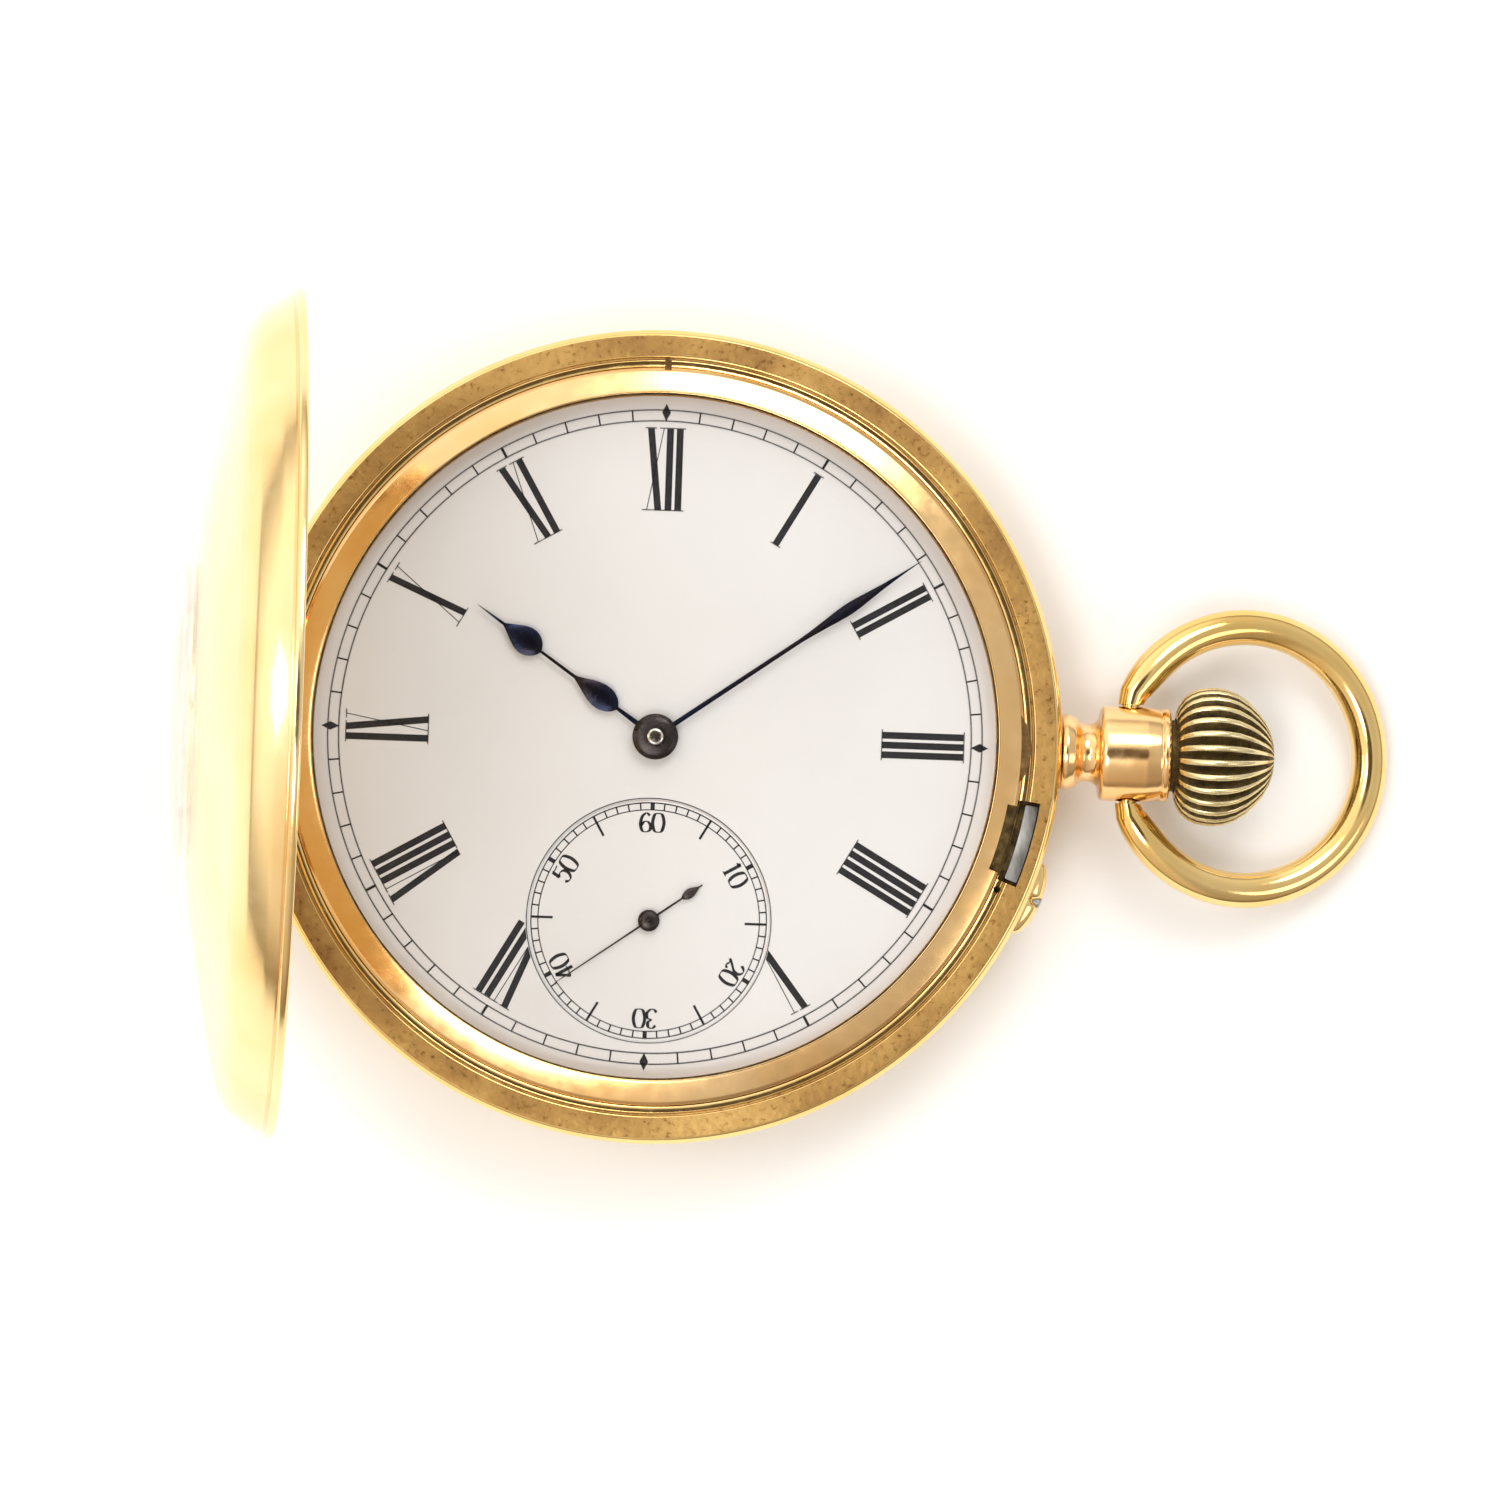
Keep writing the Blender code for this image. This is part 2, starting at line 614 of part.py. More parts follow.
SCREWS = {
    "barrel_bridge_screw_1": ((12.7, 13.0), BRIDGE[0]),
    "barrel_bridge_screw_2": ((-11.2, 14.3), BRIDGE[0]),
    "barrel_bridge_screw_3": ((15.6, -4.6), BRIDGE[0]),
    "train_bridge_screw_1": ((11.8, -13.8), BRIDGE[0]),
    "train_bridge_screw_2": ((-4.3, -17.7), BRIDGE[0]),
    "pallet_bridge_screw": ((-11.8, -14.2), PALLET_BRIDGE[0]),
    "balance_cock_screw": ((-17.4, -0.7), COCK[0]),
}


def hole_at(centre, radius, facets=8):
    return circle(radius, facets, centre)


def screw_holes(prefix):
    return [hole_at(at, SCREW_HOLE_R) for name, (at, _) in SCREWS.items()
            if name.startswith(prefix)]


def main_plate():
    slot_half = 1.25
    gap = math.degrees(math.asin(slot_half / PLATE_R))
    outline = arc(PLATE_R, gap, 360.0 - gap, 60) + [(12.0, -slot_half), (12.0, slot_half)]
    holes = [hole_at(CENTRE, 0.7), hole_at(BARREL, 1.0), hole_at(THIRD, PIVOT_HOLE_R),
             hole_at(FOURTH, PIVOT_HOLE_R), hole_at(ESCAPE, PIVOT_HOLE_R),
             hole_at(BALANCE, PIVOT_HOLE_R), hole_at(lever_arbor(), PIVOT_HOLE_R)]
    holes += [hole_at(at, SCREW_HOLE_R) for at, _ in SCREWS.values()]
    node("main_plate", layered([(*PLATE, [outline] + holes)]), "gilt_brass")


def barrel_bridge():
    outline = arc(BRIDGE_R, -20.0, 172.0, 30) + [
        (-8.0, 2.2), (-1.9, 0.9), (-1.6, -1.4), (0.8, -1.9), (6.0, -3.4), (12.0, -6.0)]
    holes = [hole_at(CENTRE, 0.7), hole_at(BARREL, 1.0), hole_at(CROWN_WHEEL, 3.0, 20),
             hole_at(CLICK_PIVOT, 0.55)]
    screws = screw_holes("barrel_bridge")
    pads = [hole_at(at, 1.3, 14) for name, (at, _) in SCREWS.items()
            if name == "barrel_bridge_screw_3"]
    foot = sector(16.4, FOOT_OUT_R, 18.0, 165.0, 20)
    body = layered([(*BRIDGE, [outline] + holes + screws),
                    (BRIDGE[1], PLATE[0] - 0.02, [foot] + pads + screws)])
    node("barrel_bridge", body, "gilt_brass")


def train_bridge():
    outline = arc(BRIDGE_R, -112.0, -28.0, 16) + [
        (13.0, -7.4), (7.2, -5.6), (4.9, -4.5), (3.0, -5.0), (-1.5, -9.6), (-4.4, -12.0),
        (-6.4, -12.7), (-7.3, -14.6)]
    holes = [hole_at(THIRD, PIVOT_HOLE_R), hole_at(FOURTH, PIVOT_HOLE_R),
             hole_at(ESCAPE, PIVOT_HOLE_R)]
    screws = screw_holes("train_bridge")
    foot = sector(17.6, FOOT_OUT_R, -107.0, -40.0, 14)
    body = layered([(*BRIDGE, [outline] + holes + screws),
                    (BRIDGE[1], PLATE[0] - 0.02, [foot] + screws)])
    node("train_bridge", body, "gilt_brass")


def pallet_bridge():
    foot_at = SCREWS["pallet_bridge_screw"][0]
    bar = capsule(lever_arbor(), foot_at, 1.1, 1.35)
    screws = screw_holes("pallet_bridge")
    body = layered([(*PALLET_BRIDGE, [bar, hole_at(lever_arbor(), PIVOT_HOLE_R)] + screws),
                    (PALLET_BRIDGE[1], PLATE[0] - 0.02, [hole_at(foot_at, 1.1, 14)] + screws)])
    node("pallet_bridge", body, "gilt_brass")


def balance_cock():
    foot_at = SCREWS["balance_cock_screw"][0]
    bar = capsule(BALANCE, foot_at, 2.0, 1.45, 8)
    screws = screw_holes("balance_cock")
    body = layered([(*COCK, [bar, hole_at(BALANCE, PIVOT_HOLE_R)] + screws),
                    (COCK[1], PLATE[0] - 0.02, [hole_at(foot_at, 1.3, 14)] + screws)])
    node("balance_cock", body, "gilt_brass")
    heading = math.degrees(direction(foot_at, BALANCE)) + 35.0
    collar = circle(0.75, 16, BALANCE)
    tip = turned_point(3.6, math.radians(heading), BALANCE)
    arm = capsule(turned_point(1.2, math.radians(heading), BALANCE), tip, 0.3, 0.12, 3)
    regulator = joined(layered([(1.72, 1.96, [circle(1.3, 20, BALANCE), collar])]),
                       layered([(1.74, 1.94, [arm])]))
    node("regulator", regulator, "steel")


def screws():
    for name, (at, seat) in SCREWS.items():
        head = layered([(seat - 0.34, seat - 0.02, [circle(0.72, 12)]),
                        (seat - 0.02, PLATE[0] + 0.4, [circle(SCREW_R, 8)])])
        slot = block((-1.0, -0.09, seat - 0.6), (1.0, 0.09, seat - 0.2))
        node(name, cut(head, slot), "blued_steel", (*at, 0.0))


# ------------------------------------------------------------------------ wheels and hands

def barrel():
    teeth, _ = mesh_pair(BARREL_TEETH, BARREL, CENTRE)
    bore = circle(1.0, 12)
    body = layered([(3.62, 4.1, [circle(6.5, DISC_FACETS), bore]), (4.1, 4.4, [teeth, bore])])
    node("barrel", body, "gilt_brass", (*BARREL, 0.0))


def ratchet_and_crown_wheel():
    module = math.dist(BARREL, CROWN_WHEEL) / sum(WINDING_TEETH)
    heading = direction(BARREL, CROWN_WHEEL)
    ratchet = pinion_leaves(WINDING_TEETH[0], module * WINDING_TEETH[0], heading)
    crown_teeth = wheel_teeth(WINDING_TEETH[1], module * WINDING_TEETH[1],
                              heading + math.pi + math.pi / WINDING_TEETH[1])
    body = layered([(1.6, 1.95, [ratchet]), (1.95, PLATE[1] - 0.1, [circle(0.8, 12)])])
    node("ratchet_wheel", body, "steel", (*BARREL, 0.0))
    contrate = pinion_leaves(CONTRATE_TEETH, 2.3, math.pi / CONTRATE_TEETH)
    body = layered([(1.6, 1.95, [crown_teeth]), (1.95, 3.72, [circle(2.5, 24)]),
                    (3.72, 3.92, [[(0.98 * x, 0.98 * y) for x, y in contrate]])])
    node("crown_wheel", body, "steel", (*CROWN_WHEEL, 0.0))


def click():
    """Pawl beside the ratchet wheel."""
    nose = turned_point(6.98, direction(BARREL, (-5.2, 5.4)), BARREL)
    bar = capsule((0.0, 0.0), (nose[0] - CLICK_PIVOT[0], nose[1] - CLICK_PIVOT[1]), 0.75, 0.18, 4)
    body = layered([(1.62, 1.93, [bar]), (1.93, BRIDGE[0] + 0.5, [circle(0.4, 10)])])
    node("click", body, "steel", (*CLICK_PIVOT, 0.0))


def train_wheel(name, at, teeth, wheel_z, rim_in, pinion, pinion_z, spokes, arbor_steps,
                material="gilt_brass"):
    """Spoked wheel, its pinion and arbor as one body; layers must be given bottom to top."""
    layers = [(*wheel_z, [teeth] + spoke_windows(1.3, rim_in, spokes, 0.7)),
              (*pinion_z, [pinion])]
    layers += arbor(*arbor_steps)
    node(name, layered(sorted(layers, key=lambda layer: layer[0])), material, (*at, 0.0))


def going_train():
    _, centre_pinion = mesh_pair(BARREL_TEETH, BARREL, CENTRE)
    centre_teeth, third_pinion = mesh_pair(CENTRE_TEETH, CENTRE, THIRD)
    third_teeth, fourth_pinion = mesh_pair(THIRD_TEETH, THIRD, FOURTH)
    fourth_teeth, escape_pinion = mesh_pair(FOURTH_TEETH, FOURTH, ESCAPE)
    train_wheel("centre_wheel", CENTRE, centre_teeth, (3.1, 3.35), 5.9, centre_pinion,
                (3.75, 4.42), 5, [(2.3, 3.1, 0.42), (3.35, 3.75, 0.5), (4.42, 6.98, 0.42),
                                  (6.98, 7.5, 0.3)])
    train_wheel("third_wheel", THIRD, third_teeth, (3.6, 3.82), 5.2, third_pinion,
                (3.0, 3.6), 5, [(2.25, 3.0, PIVOT_R), (3.82, 5.15, PIVOT_R)])
    train_wheel("fourth_wheel", FOURTH, fourth_teeth, (4.05, 4.25), 4.6, fourth_pinion,
                (3.5, 4.05), 5, [(2.25, 3.5, PIVOT_R), (4.25, 6.64, PIVOT_R)])
    tips = []
    for i in range(ESCAPE_TEETH):
        base = TAU * i / ESCAPE_TEETH
        tips += [turned_point(1.95, base), turned_point(2.6, base + 0.2),
                 turned_point(2.6, base + 0.26), turned_point(1.95, base + 0.17)]
    layers = [(3.2, 3.42, [tips] + spoke_windows(0.7, 1.6, 4, 0.4)),
              (3.9, 4.35, [escape_pinion])]
    layers += arbor((2.25, 3.2, PIVOT_R), (3.42, 3.9, ARBOR_R), (4.35, 5.15, PIVOT_R))
    node("escape_wheel", layered(sorted(layers, key=lambda layer: layer[0])), "steel",
         (*ESCAPE, 0.0))


def motion_work():
    minute_teeth, cannon_leaves = mesh_pair(MOTION_TEETH, MINUTE_WHEEL, CENTRE)
    hour_teeth, minute_leaves = mesh_pair(HOUR_TEETH, CENTRE, MINUTE_WHEEL)
    bore = circle(0.47, 12)
    node("cannon_pinion", layered([(5.36, 5.55, [cannon_leaves, bore]),
                                   (5.55, 5.59, [circle(0.84, 14), bore]),
                                   (5.59, 6.96, [circle(0.74, 14), bore])]), "steel")
    node("minute_wheel", layered([(5.38, 5.54, [minute_teeth]),
                                  (5.54, 5.8, [minute_leaves])]), "gilt_brass",
         (*MINUTE_WHEEL, 0.0))
    sleeve = circle(0.86, 14)
    node("hour_wheel", layered([(5.62, 5.78, [hour_teeth, sleeve]),
                                (5.78, 6.92, [circle(1.08, 14), sleeve])]), "gilt_brass")


def escapement():
    at = lever_arbor()
    heading = direction(ESCAPE, BALANCE)
    reach = math.dist(at, BALANCE)

    def local(along, across):
        return (along * math.cos(heading) - across * math.sin(heading),
                along * math.sin(heading) + across * math.cos(heading))

    outline = [local(*p) for p in (
        (0.55, 0.35), (reach - 1.6, 0.2), (reach - 1.5, 0.62), (reach - 0.62, 0.62),
        (reach - 0.62, 0.24), (reach - 1.1, 0.24), (reach - 1.1, -0.24), (reach - 0.62, -0.24),
        (reach - 0.62, -0.62), (reach - 1.5, -0.62), (reach - 1.6, -0.2), (0.55, -0.35),
        (0.1, -2.05), (-1.15, -2.2), (-1.15, -1.85), (-0.4, -1.5), (-0.45, 0.0),
        (-0.4, 1.5), (-1.15, 1.85), (-1.15, 2.2), (0.1, 2.05))]
    layers = [(3.2, 3.36, [outline])]
    layers += arbor((2.3, 3.2, PIVOT_R), (3.36, 5.15, PIVOT_R))
    node("pallet_lever", layered(sorted(layers, key=lambda layer: layer[0])), "steel",
         (*at, 0.0))
    rim = circle(6.0, DISC_FACETS)
    halves = spoke_windows(1.2, 5.3, 2, 0.9, math.degrees(heading), (14, 6))
    staff = circle(ARBOR_R, ARBOR_FACETS)
    impulse_pin = circle(0.16, 8, turned_point(0.85, heading + math.pi))
    layers = arbor((2.1, 2.6, PIVOT_R)) + [
        (2.6, 3.4, [staff]), (3.4, 3.5, [staff, impulse_pin]), (3.5, 3.6, [circle(1.1, 16)]),
        (3.6, 3.65, [circle(0.6, 12)]), (3.65, 4.05, [rim] + halves)]
    layers += arbor((4.05, 5.15, PIVOT_R))
    node("balance_wheel", layered(layers), "gilt_brass", (*BALANCE, 0.0))


def hairspring():
    turns, per_turn, start_r, pitch, thick = 4.5, 14, 0.75, 0.55, 0.07
    inner, outer = [], []
    for i in range(int(turns * per_turn) + 1):
        angle = TAU * i / per_turn
        radius = start_r + pitch * i / per_turn
        inner.append(turned_point(radius - thick, angle))
        outer.append(turned_point(radius + thick, angle))
    outline = outer + inner[::-1]
    bm = bmesh.new()
    rings = [[bm.verts.new((x, y, z)) for x, y in outline] for z in (2.85, 3.15)]
    count, half = len(outline), len(inner)
    for i in range(count):
        j = (i + 1) % count
        bm.faces.new((rings[0][i], rings[0][j], rings[1][j], rings[1][i]))
    for ring in rings:
        for i in range(half - 1):
            bm.faces.new((ring[i], ring[i + 1], ring[count - 2 - i], ring[count - 1 - i]))
    bmesh.ops.recalc_face_normals(bm, faces=bm.faces[:])
    collet = layered([(2.85, 3.15, [circle(0.78, 14), circle(ARBOR_R + 0.06, ARBOR_FACETS)])])
    node("hairspring", joined(bm, collet), "blued_steel", (*BALANCE, 0.0))


def spade(stem, base, widest, half_width, taper_end, stem_half):
    """Half outline of one spade of a hand along +Y, as (across, along) points."""
    body = widest - base
    return [(stem_half, stem), (stem_half, base), (0.62 * half_width, base + 0.12 * body),
            (0.93 * half_width, base + 0.55 * body), (half_width, widest),
            (0.86 * half_width, widest + 0.16 * (taper_end - widest)),
            (0.45 * half_width, widest + 0.48 * (taper_end - widest)),
            (1.25 * stem_half, taper_end)]


def hand_outline(hub_r, right, tip):
    """Closed outline of a hand pointing along +Y from the right-hand half and its hub."""
    first = right[0]
    open_angle = math.degrees(math.atan2(first[1], first[0]))
    hub = arc(hub_r, 180.0 - open_angle, 360.0 + open_angle, 16)
    hub = [p for p in hub[1:-1]]
    left = [(-x, y) for x, y in reversed(right)]
    return hub + right + [(0.0, tip)] + left


def hands():
    hour = (spade(1.3, 2.9, 4.06, 0.77, 6.6, 0.16)
            + spade(7.6, 8.75, 9.8, 0.86, 11.85, 0.1))
    minute = [(0.16, 1.35), (0.11, 10.6), (0.22, 12.2), (0.36, 14.15), (0.24, 15.6),
              (0.12, 17.6)]
    node("hour_hand", layered([(6.72, 6.9, [hand_outline(1.35, hour, 13.6),
                                            circle(1.14, 14)])]),
         "blued_steel", turn_deg=(0.0, 0.0, -HOUR_DEG))
    hole = circle(0.34, 12)
    node("minute_hand", layered([(7.0, 7.18, [hand_outline(1.41, minute, 19.6), hole]),
                                 (7.18, 7.32, [circle(1.2, 24), hole])]),
         "blued_steel", turn_deg=(0.0, 0.0, -MINUTE_DEG))
    needle = [(0.07, 0.62), (0.05, 6.0)]
    pin_hole = circle(0.24, 10)
    tail_half = [(0.05, 1.6), (0.07, 2.45), (0.3, 3.0), (0.24, 3.35), (0.07, 3.8)]
    tail = ([(-x, -y) for x, y in tail_half] + [(0.0, -3.95)]
            + [(x, -y) for x, y in reversed(tail_half)])
    hub_right = arc(0.67, -85.0, 84.0, 10)
    hub_left = [(-x, y) for x, y in reversed(hub_right)]
    outline = tail + hub_right + needle + [(0.0, 6.97)] + [(-x, y) for x, y in
                                                           reversed(needle)] + hub_left
    node("seconds_hand", layered([(6.4, 6.52, [outline, pin_hole])]), "blued_steel",
         (*FOURTH, 0.0), (0.0, 0.0, -SECOND_DEG))


def dial():
    rim, centre_hole = circle(DIAL_R, RIM_FACETS), circle(1.32, 20)
    body = layered([(DIAL[0], SUBDIAL_FLOOR, [rim, centre_hole, hole_at(FOURTH, 0.45, 12)]),
                    (SUBDIAL_FLOOR, DIAL[1], [rim, centre_hole,
                                              circle(SUBDIAL_R, DISC_FACETS, FOURTH)])])
    node("dial", body, "enamel")


def build():
    for obj in list(bpy.data.objects):
        bpy.data.objects.remove(obj)
    case_middle()
    bezel()
    crystal()
    front_cover()
    cover_glass()
    back_cover()
    cuvette()
    hinge_pins()
    catch_and_push_piece()
    pendant()
    crown()
    winding_stem()
    bow()
    dial()
    main_plate()
    barrel_bridge()
    train_bridge()
    pallet_bridge()
    balance_cock()
    screws()
    barrel()
    ratchet_and_crown_wheel()
    click()
    going_train()
    motion_work()
    escapement()
    hairspring()
    hands()


build()
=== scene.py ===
"""Looks for the half-hunter pocket watch: polished and matte gold, enamel dial, blued hands.

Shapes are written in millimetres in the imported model's frame, and stored in metres.
"""
import json
import math

import bmesh
import bpy
from mathutils import Matrix, Vector


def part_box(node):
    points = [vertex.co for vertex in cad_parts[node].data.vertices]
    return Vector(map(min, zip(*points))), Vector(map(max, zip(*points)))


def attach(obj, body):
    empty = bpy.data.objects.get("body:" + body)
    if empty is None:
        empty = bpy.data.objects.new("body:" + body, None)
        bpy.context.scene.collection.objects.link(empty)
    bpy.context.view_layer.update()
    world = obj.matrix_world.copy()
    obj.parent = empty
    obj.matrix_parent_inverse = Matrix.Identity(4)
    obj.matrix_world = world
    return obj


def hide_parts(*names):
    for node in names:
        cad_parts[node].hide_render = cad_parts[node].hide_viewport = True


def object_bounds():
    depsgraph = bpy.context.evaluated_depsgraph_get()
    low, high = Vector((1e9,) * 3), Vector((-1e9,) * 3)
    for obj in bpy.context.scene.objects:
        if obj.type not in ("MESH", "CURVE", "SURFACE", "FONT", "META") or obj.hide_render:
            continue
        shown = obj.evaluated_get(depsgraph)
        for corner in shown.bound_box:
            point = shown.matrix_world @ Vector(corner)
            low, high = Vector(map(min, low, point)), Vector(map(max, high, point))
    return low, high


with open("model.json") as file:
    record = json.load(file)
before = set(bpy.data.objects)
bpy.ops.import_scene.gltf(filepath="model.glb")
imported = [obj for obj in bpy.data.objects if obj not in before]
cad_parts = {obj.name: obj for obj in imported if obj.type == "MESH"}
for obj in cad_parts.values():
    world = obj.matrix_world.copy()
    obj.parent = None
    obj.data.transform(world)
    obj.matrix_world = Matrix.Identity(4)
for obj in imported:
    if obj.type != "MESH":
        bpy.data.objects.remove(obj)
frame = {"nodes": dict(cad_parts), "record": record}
bounds_at_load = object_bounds()

MM = 0.001
TAU = 2.0 * math.pi
FACETS = 180                   # round the case
SHARP = math.radians(40.0)     # edges steeper than this stay sharp

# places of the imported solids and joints, in millimetres
JOINTS = {joint["name"]: joint for joint in frame["record"]["behaviour"]["joints"]}


def joint_at(name):
    return Vector(JOINTS[name]["pos_m"]) / MM


FRONT_HINGE = joint_at("front_cover_hinge").xz
BACK_HINGE = joint_at("back_cover_hinge").xz
CUVETTE_HINGE = joint_at("cuvette_hinge")
BOW_PIVOT = joint_at("bow_swing")
STEM_Z = joint_at("crown_wind").z
SUBDIAL_AT = tuple(joint_at("seconds_turn").xy)
CASE_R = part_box("case_middle")[1].x / MM
BAND_Z = FRONT_HINGE.y         # the front cover's hinge is level with the band's rim
DIAL_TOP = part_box("dial")[1].z / MM
CROWN_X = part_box("crown")[0].x / MM
PUSH_Z = sum(corner.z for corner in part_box("push_piece")) / 2.0 / MM
PUSH_IN = Vector(JOINTS["push_piece_press"]["axis"])
PUSH_ANGLE = math.atan2(-PUSH_IN.y, -PUSH_IN.x)
FRONT_OPEN = math.radians(JOINTS["front_cover_hinge"]["range_deg"][1])

# sizes of the pieces made here, in millimetres
HINGE_R = 0.7
SPLIT = 2.4                    # half the length of a hinge's middle knuckle
HINGE_HALF = 6.8               # half the length of the whole hinge
HINGE_CLEAR = 8.2              # half the length of the gap cut for it
SUBDIAL_FLOOR = DIAL_TOP - 0.2
SINK_R = 7.48
DIAL_R = 20.98
PRINT = 0.012                  # thickness of the ink
MINUTES_IN, MINUTES_OUT = 19.45, 20.12
SECONDS_IN, SECONDS_OUT = 6.81, 7.24
NUMERAL_LOW, NUMERAL_HIGH = 13.95, 19.0
THICK, THIN, SERIF, LETTER_GAP = 0.42, 0.055, 0.15, 0.18
CUT_R = SINK_R + 0.1           # numerals stop this far from the seconds dial's centre

# where the hands point, in degrees clockwise from 12
HOUR_DEG, MINUTE_DEG, SECOND_DEG = 304.7, 54.6, 234.5


# ------------------------------------------------------------------ materials

def graph(name):
    """New material: itself, its node tree, its shader and its object coordinates."""
    material = bpy.data.materials.new(name)
    material.use_nodes = True
    tree = material.node_tree
    shader = tree.nodes["Principled BSDF"]
    coords = tree.nodes.new("ShaderNodeTexCoord")
    return material, tree, shader, coords.outputs["Object"]


def noise(tree, vector, scale, detail=4.0, roughness=0.55, stretch=None):
    """Noise value; stretch scales the coordinates to draw it out into lines."""
    if stretch:
        mapping = tree.nodes.new("ShaderNodeMapping")
        mapping.inputs["Scale"].default_value = stretch
        tree.links.new(vector, mapping.inputs["Vector"])
        vector = mapping.outputs["Vector"]
    texture = tree.nodes.new("ShaderNodeTexNoise")
    texture.inputs["Scale"].default_value = scale
    texture.inputs["Detail"].default_value = detail
    texture.inputs["Roughness"].default_value = roughness
    tree.links.new(vector, texture.inputs["Vector"])
    return texture.outputs["Fac"]


def ramp(tree, factor, stops):
    """Colour ramp; stops are (position, colour)."""
    node = tree.nodes.new("ShaderNodeValToRGB")
    points = node.color_ramp.elements
    while len(points) < len(stops):
        points.new(0.5)
    for point, (position, colour) in zip(points, stops):
        point.position = position
        point.color = (*colour, 1.0)
    tree.links.new(factor, node.inputs["Fac"])
    return node.outputs["Color"]


def spread(tree, value, low, high, out_low, out_high):
    """Value moved from one range to another."""
    node = tree.nodes.new("ShaderNodeMapRange")
    for key, number in (("From Min", low), ("From Max", high), ("To Min", out_low),
                        ("To Max", out_high)):
        node.inputs[key].default_value = number
    tree.links.new(value, node.inputs["Value"])
    return node.outputs["Result"]


def bump(tree, height, shader, strength, distance):
    node = tree.nodes.new("ShaderNodeBump")
    node.inputs["Strength"].default_value = strength
    node.inputs["Distance"].default_value = distance
    tree.links.new(height, node.inputs["Height"])
    tree.links.new(node.outputs["Normal"], shader.inputs["Normal"])


def multiplied(tree, base, shade, factor):
    """Base colour times shade, mixed in by factor."""
    node = tree.nodes.new("ShaderNodeMix")
    node.data_type = "RGBA"
    node.blend_type = "MULTIPLY"
    node.inputs["Factor"].default_value = factor
    tree.links.new(base, node.inputs["A"])
    tree.links.new(shade, node.inputs["B"])
    return node.outputs["Result"]


def added(tree, a, b, weight):
    """a + weight * b."""
    node = tree.nodes.new("ShaderNodeMath")
    node.operation = "MULTIPLY_ADD"
    tree.links.new(b, node.inputs[0])
    node.inputs[1].default_value = weight
    tree.links.new(a, node.inputs[2])
    return node.outputs["Value"]


def polished(name, light, dark, low_rough, high_rough, scratch=0.2):
    """Polished metal with handling marks: faint colour drift, hairline scratches, rub wear."""
    material, tree, shader, at = graph(name)
    drift = noise(tree, at, 130.0, 3.0)
    wear = noise(tree, at, 900.0, 6.0, 0.65)
    lines = noise(tree, at, 2600.0, 2.0, 0.5, (1.0, 0.12, 1.0))
    tree.links.new(ramp(tree, drift, [(0.3, dark), (0.65, light)]), shader.inputs["Base Color"])
    tree.links.new(spread(tree, wear, 0.35, 0.7, low_rough, high_rough),
                   shader.inputs["Roughness"])
    shader.inputs["Metallic"].default_value = 1.0
    bump(tree, added(tree, wear, lines, 0.6), shader, scratch, 0.000012)
    return material


def matte_gold():
    """Worn, finely pitted band: olive gold with dark specks and small dents."""
    material, tree, shader, at = graph("matte_gold")
    cells = tree.nodes.new("ShaderNodeTexVoronoi")
    cells.inputs["Scale"].default_value = 2300.0
    tree.links.new(at, cells.inputs["Vector"])
    grain = noise(tree, at, 2600.0, 6.0, 0.7)
    drift = noise(tree, at, 120.0, 5.0, 0.62)
    base = ramp(tree, drift, [(0.32, (0.25, 0.125, 0.045)), (0.5, (0.40, 0.235, 0.075)),
                              (0.68, (0.56, 0.35, 0.12))])
    specks = ramp(tree, grain, [(0.30, (0.30, 0.19, 0.09)), (0.44, (1.0, 1.0, 1.0))])
    tree.links.new(multiplied(tree, base, specks, 0.85), shader.inputs["Base Color"])
    tree.links.new(spread(tree, grain, 0.3, 0.7, 0.62, 0.38), shader.inputs["Roughness"])
    shader.inputs["Metallic"].default_value = 1.0
    bump(tree, added(tree, grain, cells.outputs["Distance"], 0.8), shader, 0.7, 0.00004)
    return material


def enamel():
    """Vitreous white enamel: faint cream mottling, minute pits, clear gloss on top."""
    material, tree, shader, at = graph("white_enamel")
    drift = noise(tree, at, 60.0, 3.0)
    pits = noise(tree, at, 5200.0, 2.0)
    tree.links.new(ramp(tree, drift, [(0.3, (0.75, 0.735, 0.725)), (0.7, (0.79, 0.78, 0.775))]),
                   shader.inputs["Base Color"])
    tree.links.new(spread(tree, pits, 0.3, 0.7, 0.12, 0.24), shader.inputs["Roughness"])
    shader.inputs["Coat Weight"].default_value = 0.4
    shader.inputs["Coat Roughness"].default_value = 0.05
    bump(tree, pits, shader, 0.08, 0.000006)
    return material


def print_ink():
    """Black dial print, slightly worn."""
    material, tree, shader, at = graph("dial_print")
    wear = noise(tree, at, 4200.0, 5.0, 0.7)
    tree.links.new(ramp(tree, wear, [(0.3, (0.006, 0.005, 0.006)), (0.75, (0.022, 0.020, 0.022))]),
                   shader.inputs["Base Color"])
    tree.links.new(spread(tree, wear, 0.3, 0.7, 0.3, 0.5), shader.inputs["Roughness"])
    shader.inputs["Specular IOR Level"].default_value = 0.3
    return material


def blued_steel():
    """Heat-blued steel that turns brown in places."""
    material, tree, shader, at = graph("blued_steel")
    heat = noise(tree, at, 150.0, 3.0)
    polish = noise(tree, at, 5200.0, 3.0, 0.6, (1.0, 0.2, 1.0))
    tree.links.new(ramp(tree, heat, [(0.36, (0.014, 0.009, 0.012)), (0.5, (0.006, 0.009, 0.026)),
                                     (0.64, (0.006, 0.014, 0.062))]), shader.inputs["Base Color"])
    tree.links.new(spread(tree, polish, 0.3, 0.7, 0.14, 0.3), shader.inputs["Roughness"])
    shader.inputs["Metallic"].default_value = 0.8
    bump(tree, polish, shader, 0.12, 0.00001)
    return material


